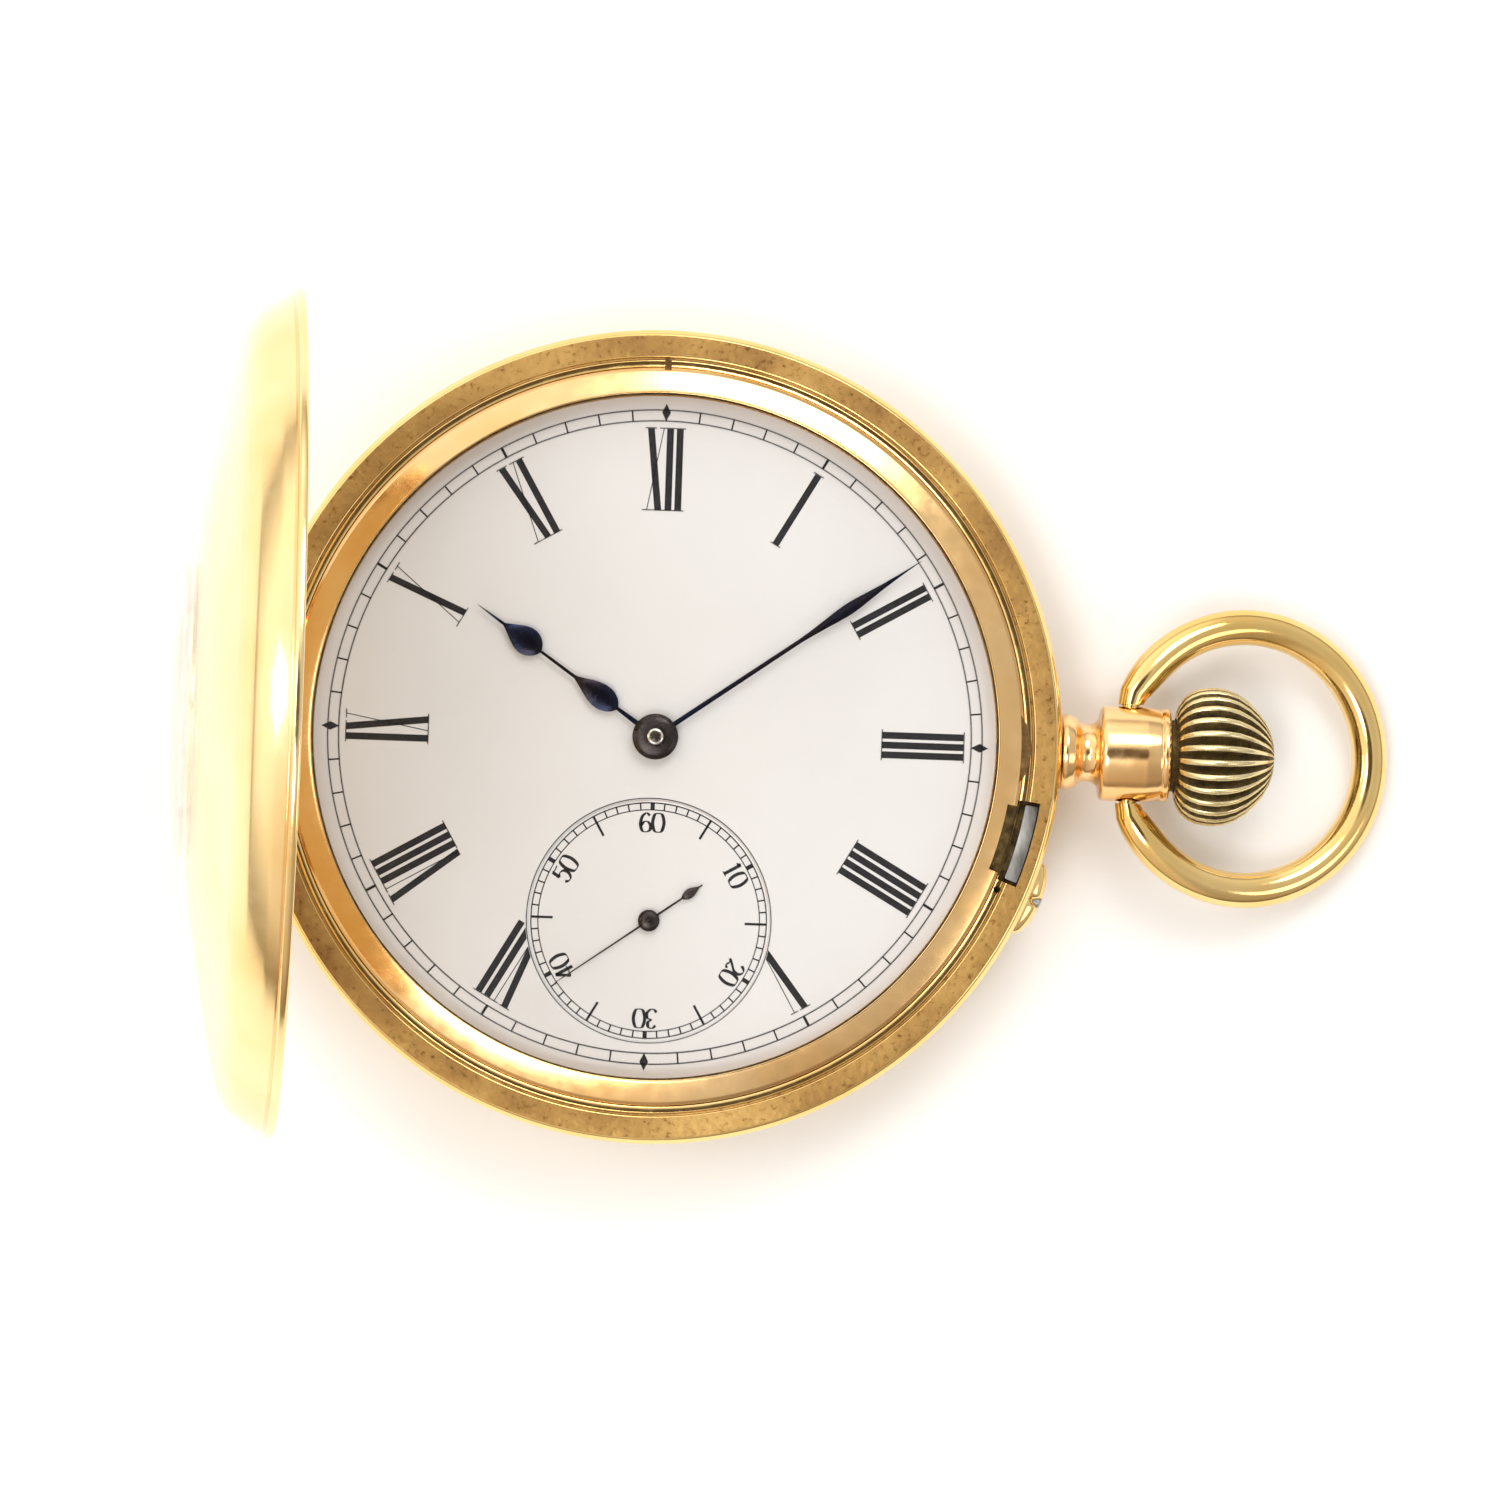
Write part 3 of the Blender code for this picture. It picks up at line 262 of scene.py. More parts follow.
def groove_shade_material():
    """Painted shade: dark, mottled metal for grooves, recesses and joins where shade falls."""
    material, tree, shader, at = graph("painted_groove_shade")
    dirt = noise(tree, at, 1500.0, 5.0, 0.65)
    tree.links.new(ramp(tree, dirt, [(0.3, (0.035, 0.022, 0.008)), (0.6, (0.13, 0.085, 0.025)),
                                     (0.8, (0.34, 0.24, 0.08))]), shader.inputs["Base Color"])
    tree.links.new(spread(tree, dirt, 0.3, 0.7, 0.75, 0.45), shader.inputs["Roughness"])
    shader.inputs["Metallic"].default_value = 0.7
    bump(tree, dirt, shader, 0.4, 0.00003)
    return material


def clear_glass(name, alpha, transmission, tint):
    """Glass with a faint smear and fine scuffs in its gloss."""
    material, tree, shader, at = graph(name)
    smear = noise(tree, at, 90.0, 4.0, 0.6)
    scuffs = noise(tree, at, 1800.0, 5.0, 0.7, (1.0, 0.2, 1.0))
    tree.links.new(ramp(tree, smear, [(0.3, tint), (0.7, [min(1.0, c + 0.03) for c in tint])]),
                   shader.inputs["Base Color"])
    tree.links.new(spread(tree, added(tree, smear, scuffs, 0.4), 0.4, 1.0, 0.02, 0.10),
                   shader.inputs["Roughness"])
    shader.inputs["Transmission Weight"].default_value = transmission
    shader.inputs["Alpha"].default_value = alpha
    shader.inputs["IOR"].default_value = 1.5
    return material


def grained(name, light, dark, scale, low_rough, high_rough, stretch=None):
    """Fine-grained gilt or brushed steel of the movement."""
    material, tree, shader, at = graph(name)
    grain = noise(tree, at, scale, 5.0, 0.6, stretch)
    tree.links.new(ramp(tree, grain, [(0.3, dark), (0.7, light)]), shader.inputs["Base Color"])
    tree.links.new(spread(tree, grain, 0.3, 0.7, low_rough, high_rough),
                   shader.inputs["Roughness"])
    shader.inputs["Metallic"].default_value = 1.0
    bump(tree, grain, shader, 0.25, 0.00001)
    return material


GOLD = polished("polished_gold", (0.98, 0.71, 0.31), (0.91, 0.59, 0.19), 0.06, 0.16)
COVER_GOLD = polished("cover_gold", (1.0, 0.76, 0.40), (0.96, 0.66, 0.27), 0.10, 0.20, 0.12)
ROSE = polished("rose_gold", (0.98, 0.66, 0.32), (0.92, 0.54, 0.2), 0.12, 0.24)
MATTE = matte_gold()
ENAMEL = enamel()
INK = print_ink()
BLUED = blued_steel()
# dark metal painted as shade into grooves, recesses and joins
GROOVE_SHADE = groove_shade_material()
CRYSTAL = clear_glass("crystal_glass", 0.09, 1.0, (0.97, 0.97, 0.97))
WINDOW = clear_glass("window_glass", 0.28, 0.9, (0.93, 0.93, 0.92))
CROWN_GOLD = polished("crown_gold", (0.90, 0.76, 0.44), (0.72, 0.57, 0.27), 0.2, 0.38)
HUB = polished("hub_steel", (0.070, 0.058, 0.055), (0.022, 0.019, 0.019), 0.2, 0.4)
BRIGHT = polished("bright_steel", (0.86, 0.84, 0.78), (0.62, 0.60, 0.55), 0.12, 0.28)
JEWEL = clear_glass("ruby_jewel", 1.0, 0.25, (0.55, 0.02, 0.06))
STEEL = polished("polished_steel", (0.52, 0.50, 0.46), (0.30, 0.29, 0.27), 0.2, 0.4)
# Broad dark and light patches on the catch are painted reflections, streaked like worn steel.
CATCH_STEEL = grained("catch_steel_wear_and_painted_reflections", (0.72, 0.70, 0.66), (0.10, 0.095, 0.09), 420.0, 0.2,
                      0.45, (1.0, 0.3, 1.0))
GILT = grained("gilt_plate", (0.88, 0.67, 0.33), (0.70, 0.50, 0.21), 3800.0, 0.28, 0.48)
BRUSHED = grained("brushed_steel", (0.62, 0.61, 0.60), (0.42, 0.42, 0.42), 3000.0, 0.2, 0.38,
                  (1.0, 0.15, 1.0))


# --------------------------------------------------------------- mesh tools, in millimetres

def on_circle(radius, angle, centre=(0.0, 0.0)):
    return centre[0] + radius * math.cos(angle), centre[1] + radius * math.sin(angle)


def circle(radius, facets, centre=(0.0, 0.0)):
    return [on_circle(radius, TAU * i / facets, centre) for i in range(facets)]


def between(p, q, share):
    return p[0] + (q[0] - p[0]) * share, p[1] + (q[1] - p[1]) * share


def arc(radius, start_deg, end_deg, steps, centre=(0.0, 0.0)):
    span = math.radians(end_deg - start_deg)
    start = math.radians(start_deg)
    return [on_circle(radius, start + span * i / steps, centre) for i in range(steps + 1)]


def rounded(profile, radius, steps=3):
    """Closed outline with its corners rounded; points on the axis stay sharp."""
    out = []
    count = len(profile)
    for i in range(count):
        here = Vector(profile[i])
        before, after = Vector(profile[i - 1]), Vector(profile[(i + 1) % count])
        a, b = before - here, after - here
        if profile[i][0] == 0.0 or a.length < 1e-6 or b.length < 1e-6 or (
                a.normalized().dot(b.normalized()) < -0.995):
            out.append(tuple(here))
            continue
        reach = min(radius, 0.42 * a.length, 0.42 * b.length)
        start, end = here + a.normalized() * reach, here + b.normalized() * reach
        for k in range(steps + 1):
            t = k / steps
            point = (1 - t) ** 2 * start + 2 * t * (1 - t) * here + t * t * end
            out.append(tuple(point))
    return out


def lathe(profile, facets=FACETS):
    """Closed body turned about Z from a closed (radius, z) profile."""
    bm = bmesh.new()
    rings = []
    for radius, z in profile:
        if radius == 0.0:
            rings.append([bm.verts.new((0.0, 0.0, z))] * facets)
        else:
            rings.append([bm.verts.new((*on_circle(radius, TAU * i / facets), z))
                          for i in range(facets)])
    for here, after in zip(rings, rings[1:] + rings[:1]):
        for i in range(facets):
            j = (i + 1) % facets
            corners = []
            for v in (here[i], here[j], after[j], after[i]):
                if v not in corners:
                    corners.append(v)
            if len(corners) > 2:
                bm.faces.new(corners)
    bmesh.ops.recalc_face_normals(bm, faces=bm.faces[:])
    return bm


def skin(bm, rings, wrap=False):
    """Faces between rings of equal size; the ends are capped, or meet where it wraps."""
    count = len(rings[0])
    followers = rings[1:] + rings[:1] if wrap else rings[1:]
    for low, high in zip(rings, followers):
        for i in range(count):
            j = (i + 1) % count
            bm.faces.new((low[i], low[j], high[j], high[i]))
    if not wrap:
        bm.faces.new(rings[0][::-1])
        bm.faces.new(rings[-1])
    bmesh.ops.recalc_face_normals(bm, faces=bm.faces[:])


def plate(outlines, low, high):
    """Flat body between two heights from outer edges and holes."""
    bm = bmesh.new()
    rims = []
    for z in (low, high):
        edges = []
        for outline in outlines:
            verts = [bm.verts.new((x, y, z)) for x, y in outline]
            edges += [bm.edges.new((verts[i - 1], verts[i])) for i in range(len(verts))]
            rims.append(verts)
        bmesh.ops.triangle_fill(bm, use_beauty=True, edges=edges, normal=(0.0, 0.0, 1.0))
    half = len(outlines)
    for lower, upper in zip(rims[:half], rims[half:]):
        for i in range(len(lower)):
            bm.faces.new((lower[i - 1], lower[i], upper[i], upper[i - 1]))
    bmesh.ops.recalc_face_normals(bm, faces=bm.faces[:])
    return bm


def block(low, high):
    """Box between two corners, used to cut and to join."""
    bm = bmesh.new()
    bmesh.ops.create_cube(bm, size=1.0)
    for v in bm.verts:
        v.co = Vector([low[k] + (v.co[k] + 0.5) * (high[k] - low[k]) for k in range(3)])
    return bm


def cylinder(radius, start, end, facets=32):
    """Round bar between two points, used to drill holes."""
    span = Vector(end) - Vector(start)
    bm = plate([circle(radius, facets)], 0.0, span.length)
    turn = Vector((0.0, 0.0, 1.0)).rotation_difference(span)
    return moved(bm, Matrix.Translation(Vector(start)) @ turn.to_matrix().to_4x4())


def moved(bm, matrix):
    bmesh.ops.transform(bm, matrix=matrix, verts=bm.verts[:])
    return bm


def scratch(bm):
    """Temporary object from a mesh, for a boolean."""
    mesh = bpy.data.meshes.new("scratch")
    bm.to_mesh(mesh)
    bm.free()
    obj = bpy.data.objects.new("scratch", mesh)
    bpy.context.scene.collection.objects.link(obj)
    return obj


def combined(base, tools, operation):
    """Base after an exact boolean with each tool in turn."""
    for tool in tools:
        body, other = scratch(base), scratch(tool)
        modifier = body.modifiers.new("cut", "BOOLEAN")
        modifier.operation = operation
        modifier.solver = "EXACT"
        modifier.object = other
        depsgraph = bpy.context.evaluated_depsgraph_get()
        result = bpy.data.meshes.new_from_object(body.evaluated_get(depsgraph))
        base = bmesh.new()
        base.from_mesh(result)
        for obj in (body, other):
            old = obj.data
            bpy.data.objects.remove(obj)
            bpy.data.meshes.remove(old)
        bpy.data.meshes.remove(result)
    return base


def cut(base, *tools):
    return combined(base, tools, "DIFFERENCE")


def joined(base, *tools):
    return combined(base, tools, "UNION")


def piece(name, bm, materials, body, hides=(), choose=None, matrix=None):
    """Store a piece that rides a body; choose gives a face's material index from its centre
    and normal, in millimetres."""
    if choose:
        for face in bm.faces:
            face.material_index = choose(face.calc_center_median(), face.normal)
    if matrix is not None:
        moved(bm, matrix)
    for v in bm.verts:
        v.co *= MM
    for face in bm.faces:
        face.smooth = True
    for edge in bm.edges:
        edge.smooth = len(edge.link_faces) == 2 and edge.calc_face_angle(0.0) < SHARP
    mesh = bpy.data.meshes.new(name)
    bm.to_mesh(mesh)
    bm.free()
    for material in materials if isinstance(materials, (list, tuple)) else [materials]:
        mesh.materials.append(material)
    obj = bpy.data.objects.new(name, mesh)
    bpy.context.scene.collection.objects.link(obj)
    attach(obj, body)
    if hides:
        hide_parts(*hides)


ALONG_X = Matrix.Translation((0.0, 0.0, STEM_Z)) @ Matrix.Rotation(math.radians(90.0), 4, "Y")


# ------------------------------------------------------------------ case and covers

def barrel_shape(low_y, high_y, radius=HINGE_R):
    """Hinge knuckle with softened ends."""
    profile = rounded([(0.0, low_y), (radius, low_y), (radius, high_y), (0.0, high_y)], 0.08, 2)
    return moved(lathe(profile, 32), Matrix.Rotation(math.radians(-90.0), 4, "X"))


def case_middle():
    """Band with its matte rim, hinge seats, catch pocket and holes for stem and push piece."""
    profile = rounded([
        (21.2, 3.65), (24.7, 3.65), (CASE_R, 4.3), (CASE_R, 7.2), (24.68, BAND_Z),
        (23.3, BAND_Z), (23.28, 7.46), (23.14, 7.46), (23.1, 7.6), (22.62, 7.56),
        (22.66, 6.5), (21.2, 6.5), (21.2, 5.82), (20.0, 5.82), (20.0, 5.38), (21.2, 5.38)],
        0.14)
    catch_pocket = plate([arc(23.98, -20.7, -7.9, 16) + arc(22.72, -7.9, -20.7, 16)], 6.6, 9.0)
    way = Vector((*on_circle(1.0, PUSH_ANGLE), 0.0))
    lift = Vector((0.0, 0.0, PUSH_Z))
    pit_at = on_circle(22.95, math.radians(-22.1))
    tools = [block((-26.0, -HINGE_CLEAR, 6.5), (-22.62, HINGE_CLEAR, 9.0)),
             block((-26.0, -HINGE_CLEAR, 2.0), (-22.35, HINGE_CLEAR, 4.9)),
             block((-22.5, -2.6, 2.0), (-21.0, 2.6, 3.95)), catch_pocket,
             cylinder(1.05, (20.0, 0.0, STEM_Z), (26.0, 0.0, STEM_Z)),
             cylinder(0.5, way * 22.0 + lift, way * 26.0 + lift),
             cylinder(0.22, (*pit_at, 6.7), (*pit_at, 9.0), 9)]
    body = cut(lathe(profile), *tools)
    for axis_x, axis_z, web_z in ((*FRONT_HINGE, -1.3), (*BACK_HINGE, 1.5)):
        place = Matrix.Translation((axis_x, 0.0, axis_z))
        for side in (-1, 1):
            y = sorted((side * (SPLIT + 0.15), side * HINGE_HALF))
            z = sorted((0.0, web_z))
            body = joined(body, moved(barrel_shape(*y), place),
                          moved(block((-0.55, y[0] + 0.02, z[0]), (0.9, y[1] - 0.02, z[1])),
                                place))

    def matte_and_shade_on_band(at, normal):
        radius = math.hypot(at.x, at.y)
        azimuth = math.degrees(math.atan2(at.y, at.x))
        # Index 2 is painted shade: the pin's pit and the walls of the catch pocket get the dark
        # groove material.
        if math.dist(at.xy, pit_at) < 0.26 and at.z < 7.6:
            return 2
        if -20.9 < azimuth < -7.7 and 22.6 < radius < 24.05 and 6.5 < at.z < 7.64 and not (
                normal.z > 0.9 and radius > 23.95):
            return 2 if at.z < 7.55 or radius < 23.2 else 1
        if normal.z > 0.9 and 23.36 < radius < 24.62 and at.z > 7.5:
            return 1
        return 1 if 23.11 < radius < 23.3 and at.z < 7.53 and at.z > 7.4 else 0

    piece("case_body", body, [GOLD, MATTE, GROOVE_SHADE], "case", ["case_middle"],
          matte_and_shade_on_band)


def bezel():
    """Conical bezel with the catch's slot, a lifting lug at 12 and a boss beside the stem."""
    profile = rounded([
        (21.55, 6.55), (22.64, 6.55), (22.64, 7.66), (22.5, 7.76), (22.42, 7.83), (21.3, 8.12),
        (21.09, 8.16), (20.97, 8.06), (20.95, 7.95), (21.55, 7.78)], 0.06)
    slot = plate([arc(23.0, -19.7, -8.9, 14) + arc(22.0, -8.9, -19.7, 14)], 7.2, 9.0)
    lug = block((-0.2, 22.4, 7.6), (0.2, 23.2, 7.86))
    bmesh.ops.bevel(lug, geom=lug.edges[:], offset=0.09, segments=2, affect="EDGES")

    def crest(x, rise, start, end, steps):
        """Parabola that stands out by rise at y = 0 and meets x 2.5 mm either side."""
        ys = [start + (end - start) * i / steps for i in range(steps + 1)]
        return [(x + rise * (1.0 - (y / 2.5) ** 2), y) for y in ys]

    stem_boss = plate([crest(22.1, 1.0, 2.5, -2.5, 20) + crest(22.25, -0.15, -2.4, 2.4, 12)],
                      7.55, 7.78)
    body = joined(cut(lathe(profile), slot), lug, stem_boss)

    def shade_in_corners(at, normal):
        # Painted shade: the inner lip beside the dial and the skirt inside the case get the dark
        # groove material.
        radius = math.hypot(at.x, at.y)
        return 1 if radius < 21.07 or (radius > 22.1 and at.z < 7.4) else 0

    piece("bezel_ring", body, [ROSE, GROOVE_SHADE], "case", ["bezel"], shade_in_corners)


def crystal():
    """Low domed glass over the dial."""
    profile = rounded([(0.0, 7.95), (10.0, 7.85), (16.0, 7.68), (20.4, 7.42), (21.4, 7.3),
                       (21.4, 7.72), (20.8, 7.83), (16.0, 8.15), (10.0, 8.32), (0.0, 8.42)], 1.6)
    piece("crystal_dome", lathe(profile), CRYSTAL, "case", ["crystal"])


def lid_matrix():
    """From the closed cover, flat on its hinge axis, to where it stands open."""
    hinge = Matrix.Translation((FRONT_HINGE[0], 0.0, FRONT_HINGE[1]))
    return hinge @ Matrix.Rotation(-FRONT_OPEN, 4, "Y")


def front_cover():
    """Front cover with its round window, made closed and then stood open."""
    outer = [(23.4, 0.05), (24.9, 0.05), (24.9, 0.56), (24.56, 0.62), (24.54, 0.74),
             (24.42, 1.0), (24.2, 1.45), (23.8, 2.05), (23.3, 2.66), (22.9, 2.98), (22.3, 3.28),
             (21.4, 3.58), (20.1, 3.86), (17.6, 4.34), (15.0, 4.82), (12.4, 5.24), (9.7, 5.58),
             (8.77, 5.62)]
    inner = [(8.77, 5.2), (8.2, 5.2), (8.2, 4.95), (9.6, 5.0), (12.4, 4.68), (15.0, 4.25),
             (17.6, 3.8), (20.0, 3.3), (21.9, 2.8), (22.9, 2.0), (23.35, 1.0)]
    to_hinge = Matrix.Translation((-FRONT_HINGE[0], 0.0, 0.0))
    body = moved(lathe(rounded(outer + inner, 0.16)), to_hinge)
    body = cut(body, block((-4.0, -HINGE_CLEAR, -1.0), (0.75, HINGE_CLEAR, 1.45)))
    end = HINGE_HALF - 0.05
    body = joined(body, block((-0.75, -end, 0.82), (0.75, end, 1.6)),
                  block((-0.5, -SPLIT, 0.0), (0.5, SPLIT, 1.3)), barrel_shape(-SPLIT, SPLIT))

    # Painted shade line: the groove's step faces get the darker rose gold.
    def groove(at, normal):
        radius = math.hypot(at.x + FRONT_HINGE[0], at.y)
        return 1 if 24.5 < radius < 24.66 and 0.55 < at.z < 0.8 else 0

    piece("front_cover_shell", body, [COVER_GOLD, ROSE], "front_cover", ["front_cover"],
          groove, lid_matrix())
    glass = rounded([(0.0, 6.25), (5.0, 6.1), (8.05, 5.7), (8.05, 5.25), (8.65, 5.25),
                     (8.65, 6.15), (8.4, 6.32), (5.0, 6.75), (0.0, 6.9)], 0.3)
    piece("front_cover_window", moved(lathe(glass, 96), to_hinge), WINDOW, "front_cover",
          ["cover_glass"], matrix=lid_matrix())


def back_cover():
    """Back cover: a shallow dish with its hinge web."""
    profile = rounded([
        (0.0, 0.0), (12.0, 0.0), (14.5, 0.06), (17.0, 0.22), (19.0, 0.48), (21.0, 0.9),
        (22.4, 1.4), (23.4, 1.9), (24.1, 2.4), (24.5, 2.85), (24.75, 3.6), (24.2, 3.6),
        (23.95, 3.05), (23.0, 2.3), (20.8, 1.4), (16.9, 0.72), (12.0, 0.5), (0.0, 0.5)], 0.3)
    place = Matrix.Translation((BACK_HINGE[0], 0.0, BACK_HINGE[1]))
    body = cut(lathe(profile), block((-27.0, -HINGE_CLEAR, 2.21), (-22.45, HINGE_CLEAR, 4.3)))
    end = HINGE_HALF - 0.05
    body = joined(body, moved(block((-0.7, -end, -1.53), (0.8, end, -0.82)), place),
                  moved(block((-0.5, -SPLIT, -1.3), (0.5, SPLIT, 0.0)), place),
                  moved(barrel_shape(-SPLIT, SPLIT), place))
    piece("back_cover_shell", body, GOLD, "back_cover", ["back_cover"])


def cuvette():
    """Inner back: a shallow dome with a lifting lip."""
    profile = rounded([
        (0.0, 0.85), (14.0, 0.85), (16.5, 0.98), (18.5, 1.2), (20.0, 1.6), (21.2, 2.1),
        (22.0, 2.9), (22.0, 3.6), (21.7, 3.6), (21.7, 3.0), (20.95, 2.32), (18.4, 1.45),
        (14.0, 1.1), (0.0, 1.1)], 0.3)
    body = cut(lathe(profile), block((-23.0, -2.4, 2.75), (-20.8, 2.4, 4.0)))
    knuckle = rounded([(0.0, -2.1), (0.42, -2.1), (0.42, 2.1), (0.0, 2.1)], 0.06, 2)
    place = Matrix.Translation(CUVETTE_HINGE)
    body = joined(body, moved(lathe(knuckle, 24),
                              place @ Matrix.Rotation(math.radians(-90.0), 4, "X")),
                  moved(block((-0.2, -2.08, -0.75), (0.2, 2.08, 0.0)), place))
    piece("cuvette_shell", body, GOLD, "cuvette", ["cuvette"])


def catch_strip():
    """Steel lock spring that shows in the band's slot."""
    strip = plate([arc(23.9, -20.1, -8.5, 24) + arc(23.12, -8.5, -20.1, 24)], 6.8, 7.62)
    bmesh.ops.bevel(strip, geom=[e for e in strip.edges if e.calc_face_angle(0.0) > 1.0],
                    offset=0.05, segments=2, affect="EDGES")
    piece("catch_strip", strip, CATCH_STEEL, "catch", ["catch"])


def push_piece():
    """Two-lobed guard on the band, drilled for the steel push piece."""
    across, up = 40, 12
    half_width, half_height, reach, notch = 2.3, 0.95, 0.72, 0.09
    bm = bmesh.new()

    def section(s):
        """Ring up the guard's face and down its back, s from -1 to 1 across it."""
        angle = PUSH_ANGLE + s * half_width / CASE_R
        lobes = max(0.0, 1.0 - s * s) ** 0.5 * (1.0 - 0.7 * math.exp(-(s / notch) ** 2))
        face = []
        for k in range(up + 1):
            t = -1.0 + 2.0 * k / up
            swell = max(0.0, 1.0 - t * t) ** 0.5
            radius = CASE_R + 0.02 + 0.12 * swell + reach * lobes * swell
            height = PUSH_Z + half_height * t * (0.72 + 0.28 * lobes)
            face.append((*on_circle(radius, angle), height))
        back = [(*on_circle(CASE_R - 0.04, angle), height) for _, _, height in reversed(face)]
        return [bm.verts.new(point) for point in face + back]

    skin(bm, [section(-1.0 + 2.0 * i / across) for i in range(across + 1)])
    way = Vector((*on_circle(1.0, PUSH_ANGLE), 0.0))
    lift = Vector((0.0, 0.0, PUSH_Z))
    bm = cut(bm, cylinder(0.41, way * 24.0 + lift, way * 27.0 + lift))
    piece("push_piece_guard", bm, GOLD, "case", ["push_guard"])
    pin = rounded([(0.0, 23.6), (0.38, 23.6), (0.38, 25.84), (0.0, 25.84)], 0.16)
    turn = (Matrix.Translation(lift) @ Matrix.Rotation(PUSH_ANGLE, 4, "Z")
            @ Matrix.Rotation(math.radians(90.0), 4, "Y"))
    piece("push_piece_pin", lathe(pin, 32), STEEL, "push_piece", ["push_piece"],
          matrix=turn)


# ------------------------------------------------------------------ pendant, crown, bow

def pendant():
    """Turned pendant, drilled across for the bow."""
    profile = rounded([
        (0.98, 23.6), (0.98, 25.08), (2.3, 25.08), (2.35, 25.4), (2.2, 25.85), (1.9, 26.2),
        (1.76, 26.45), (1.76, 26.8), (1.9, 27.15), (2.15, 27.36), (2.72, 27.44), (2.9, 27.56),
        (2.94, 27.8), (2.94, 30.3), (2.84, 31.1), (2.8, 31.22), (2.9, 31.34), (2.9, 31.62),
        (2.74, 31.74), (2.2, 31.76), (2.2, 32.36), (1.25, 32.36), (1.25, 26.0), (0.62, 26.0),
        (0.62, 23.6)], 0.1)
    bow_hole = cylinder(0.67, (0.0, -4.0, BOW_PIVOT.x), (0.0, 4.0, BOW_PIVOT.x))
    body = cut(lathe(profile, 96), bow_hole)
    # The top end, against the crown, gets the dark groove material as painted shade.
    piece("pendant_tube", body, [ROSE, GROOVE_SHADE], "case", ["pendant"],
          lambda at, normal: 1 if at.z > 31.76 else 0, ALONG_X)


def crown():
    """Ribbed crown: rounded ribs with narrow grooves that fade at both ends; shade is painted into
    the grooves and the bore.

    The outline gives radius, distance along the stem, and depth of the grooves from 0 to 1.
    """
    outline = [(1.2, 0.7, 0.0), (2.32, 0.7, 0.0), (2.34, 0.0, 0.0), (2.75, 0.03, 0.3),
               (3.2, 0.2, 0.7), (3.65, 0.5, 1.0), (3.96, 0.9, 1.0), (4.18, 1.4, 1.0),
               (4.27, 2.0, 1.0), (4.29, 2.5, 1.0), (4.2, 3.1, 1.0), (3.97, 3.75, 1.0),
               (3.5, 4.45, 1.0), (2.95, 5.02, 1.0), (2.35, 5.5, 0.9), (1.7, 5.85, 0.7),
               (1.0, 6.07, 0.35), (0.5, 6.13, 0.0)]
    ribs, per_rib = 28, 10
    facets = ribs * per_rib
    bm = bmesh.new()
    rings = []
    for radius, z, grooved in outline:
        ring = []
        for i in range(facets):
            phase = (i % per_rib) / per_rib
            dip = abs(math.cos(math.pi * phase)) ** 3.2
            ring.append(bm.verts.new((*on_circle(radius - 0.13 * radius * grooved * dip,
                                                 TAU * i / facets), CROWN_X + z)))
        rings.append(ring)
    skin(bm, rings)
    for face in bm.faces:
        centre = face.calc_center_median()
        turn = math.atan2(centre.y, centre.x) / TAU * ribs % 1.0
        depth = abs(math.cos(math.pi * turn))
        z = centre.z - CROWN_X
        in_groove = depth > 0.7 and z > 0.1
        in_bore = z < 0.69 and centre.xy.length < 2.33
        # Painted shade: grooves and the bore over the pendant get the dark groove material.
        face.material_index = 1 if in_groove or in_bore else 0
    piece("crown_button", bm, [CROWN_GOLD, GROOVE_SHADE], "crown", ["crown"], matrix=ALONG_X)


def bow():
    """Open ring of round wire; its ends turn in and pivot in the pendant."""
    ring_r, ring_x, wire = 8.15, 7.5, 1.1
    lean = math.radians(13.5)
    end = math.acos(-ring_x / ring_r)
    path = []
    steps = 110
    for i in range(steps + 1):
        angle = -end + 2.0 * end * i / steps
        near_end = max(0.0, 1.0 - min(i, steps - i) / 7.0)
        x, y = on_circle(ring_r, angle, (ring_x, 0.0))
        path.append((x, y + math.copysign(0.25 * near_end ** 2, y), wire - 0.28 * near_end ** 2))
    cap = [(0.0, 3.02, 0.55), (0.0, 1.95, 0.55)]
    cheek = (0.0, 3.06, 0.8)
    path = ([(x, -y, r) for x, y, r in reversed(cap)] + [(0.0, -cheek[1], cheek[2])]
            + path[1:-1] + [cheek] + cap)
    facets = 24
    bm = bmesh.new()
    rings = []
    for i, (x, y, radius) in enumerate(path):
        before, after = path[max(i - 1, 0)], path[min(i + 1, len(path) - 1)]
        along = Vector((after[0] - before[0], after[1] - before[1], 0.0)).normalized()
        if i < 3 or i > len(path) - 4:
            along = Vector((0.0, -1.0, 0.0))
        across = Vector((along.y, -along.x, 0.0))
        rings.append([bm.verts.new(Vector((x, y, 0.0)) + radius * (
            math.cos(TAU * k / facets) * across + Vector((0, 0, math.sin(TAU * k / facets)))))
            for k in range(facets)])
    skin(bm, rings)
    place = Matrix.Translation(BOW_PIVOT) @ Matrix.Rotation(lean, 4, "Y")
    piece("bow_ring", bm, GOLD, "bow", ["bow"], matrix=place)


# ------------------------------------------------------------------ dial

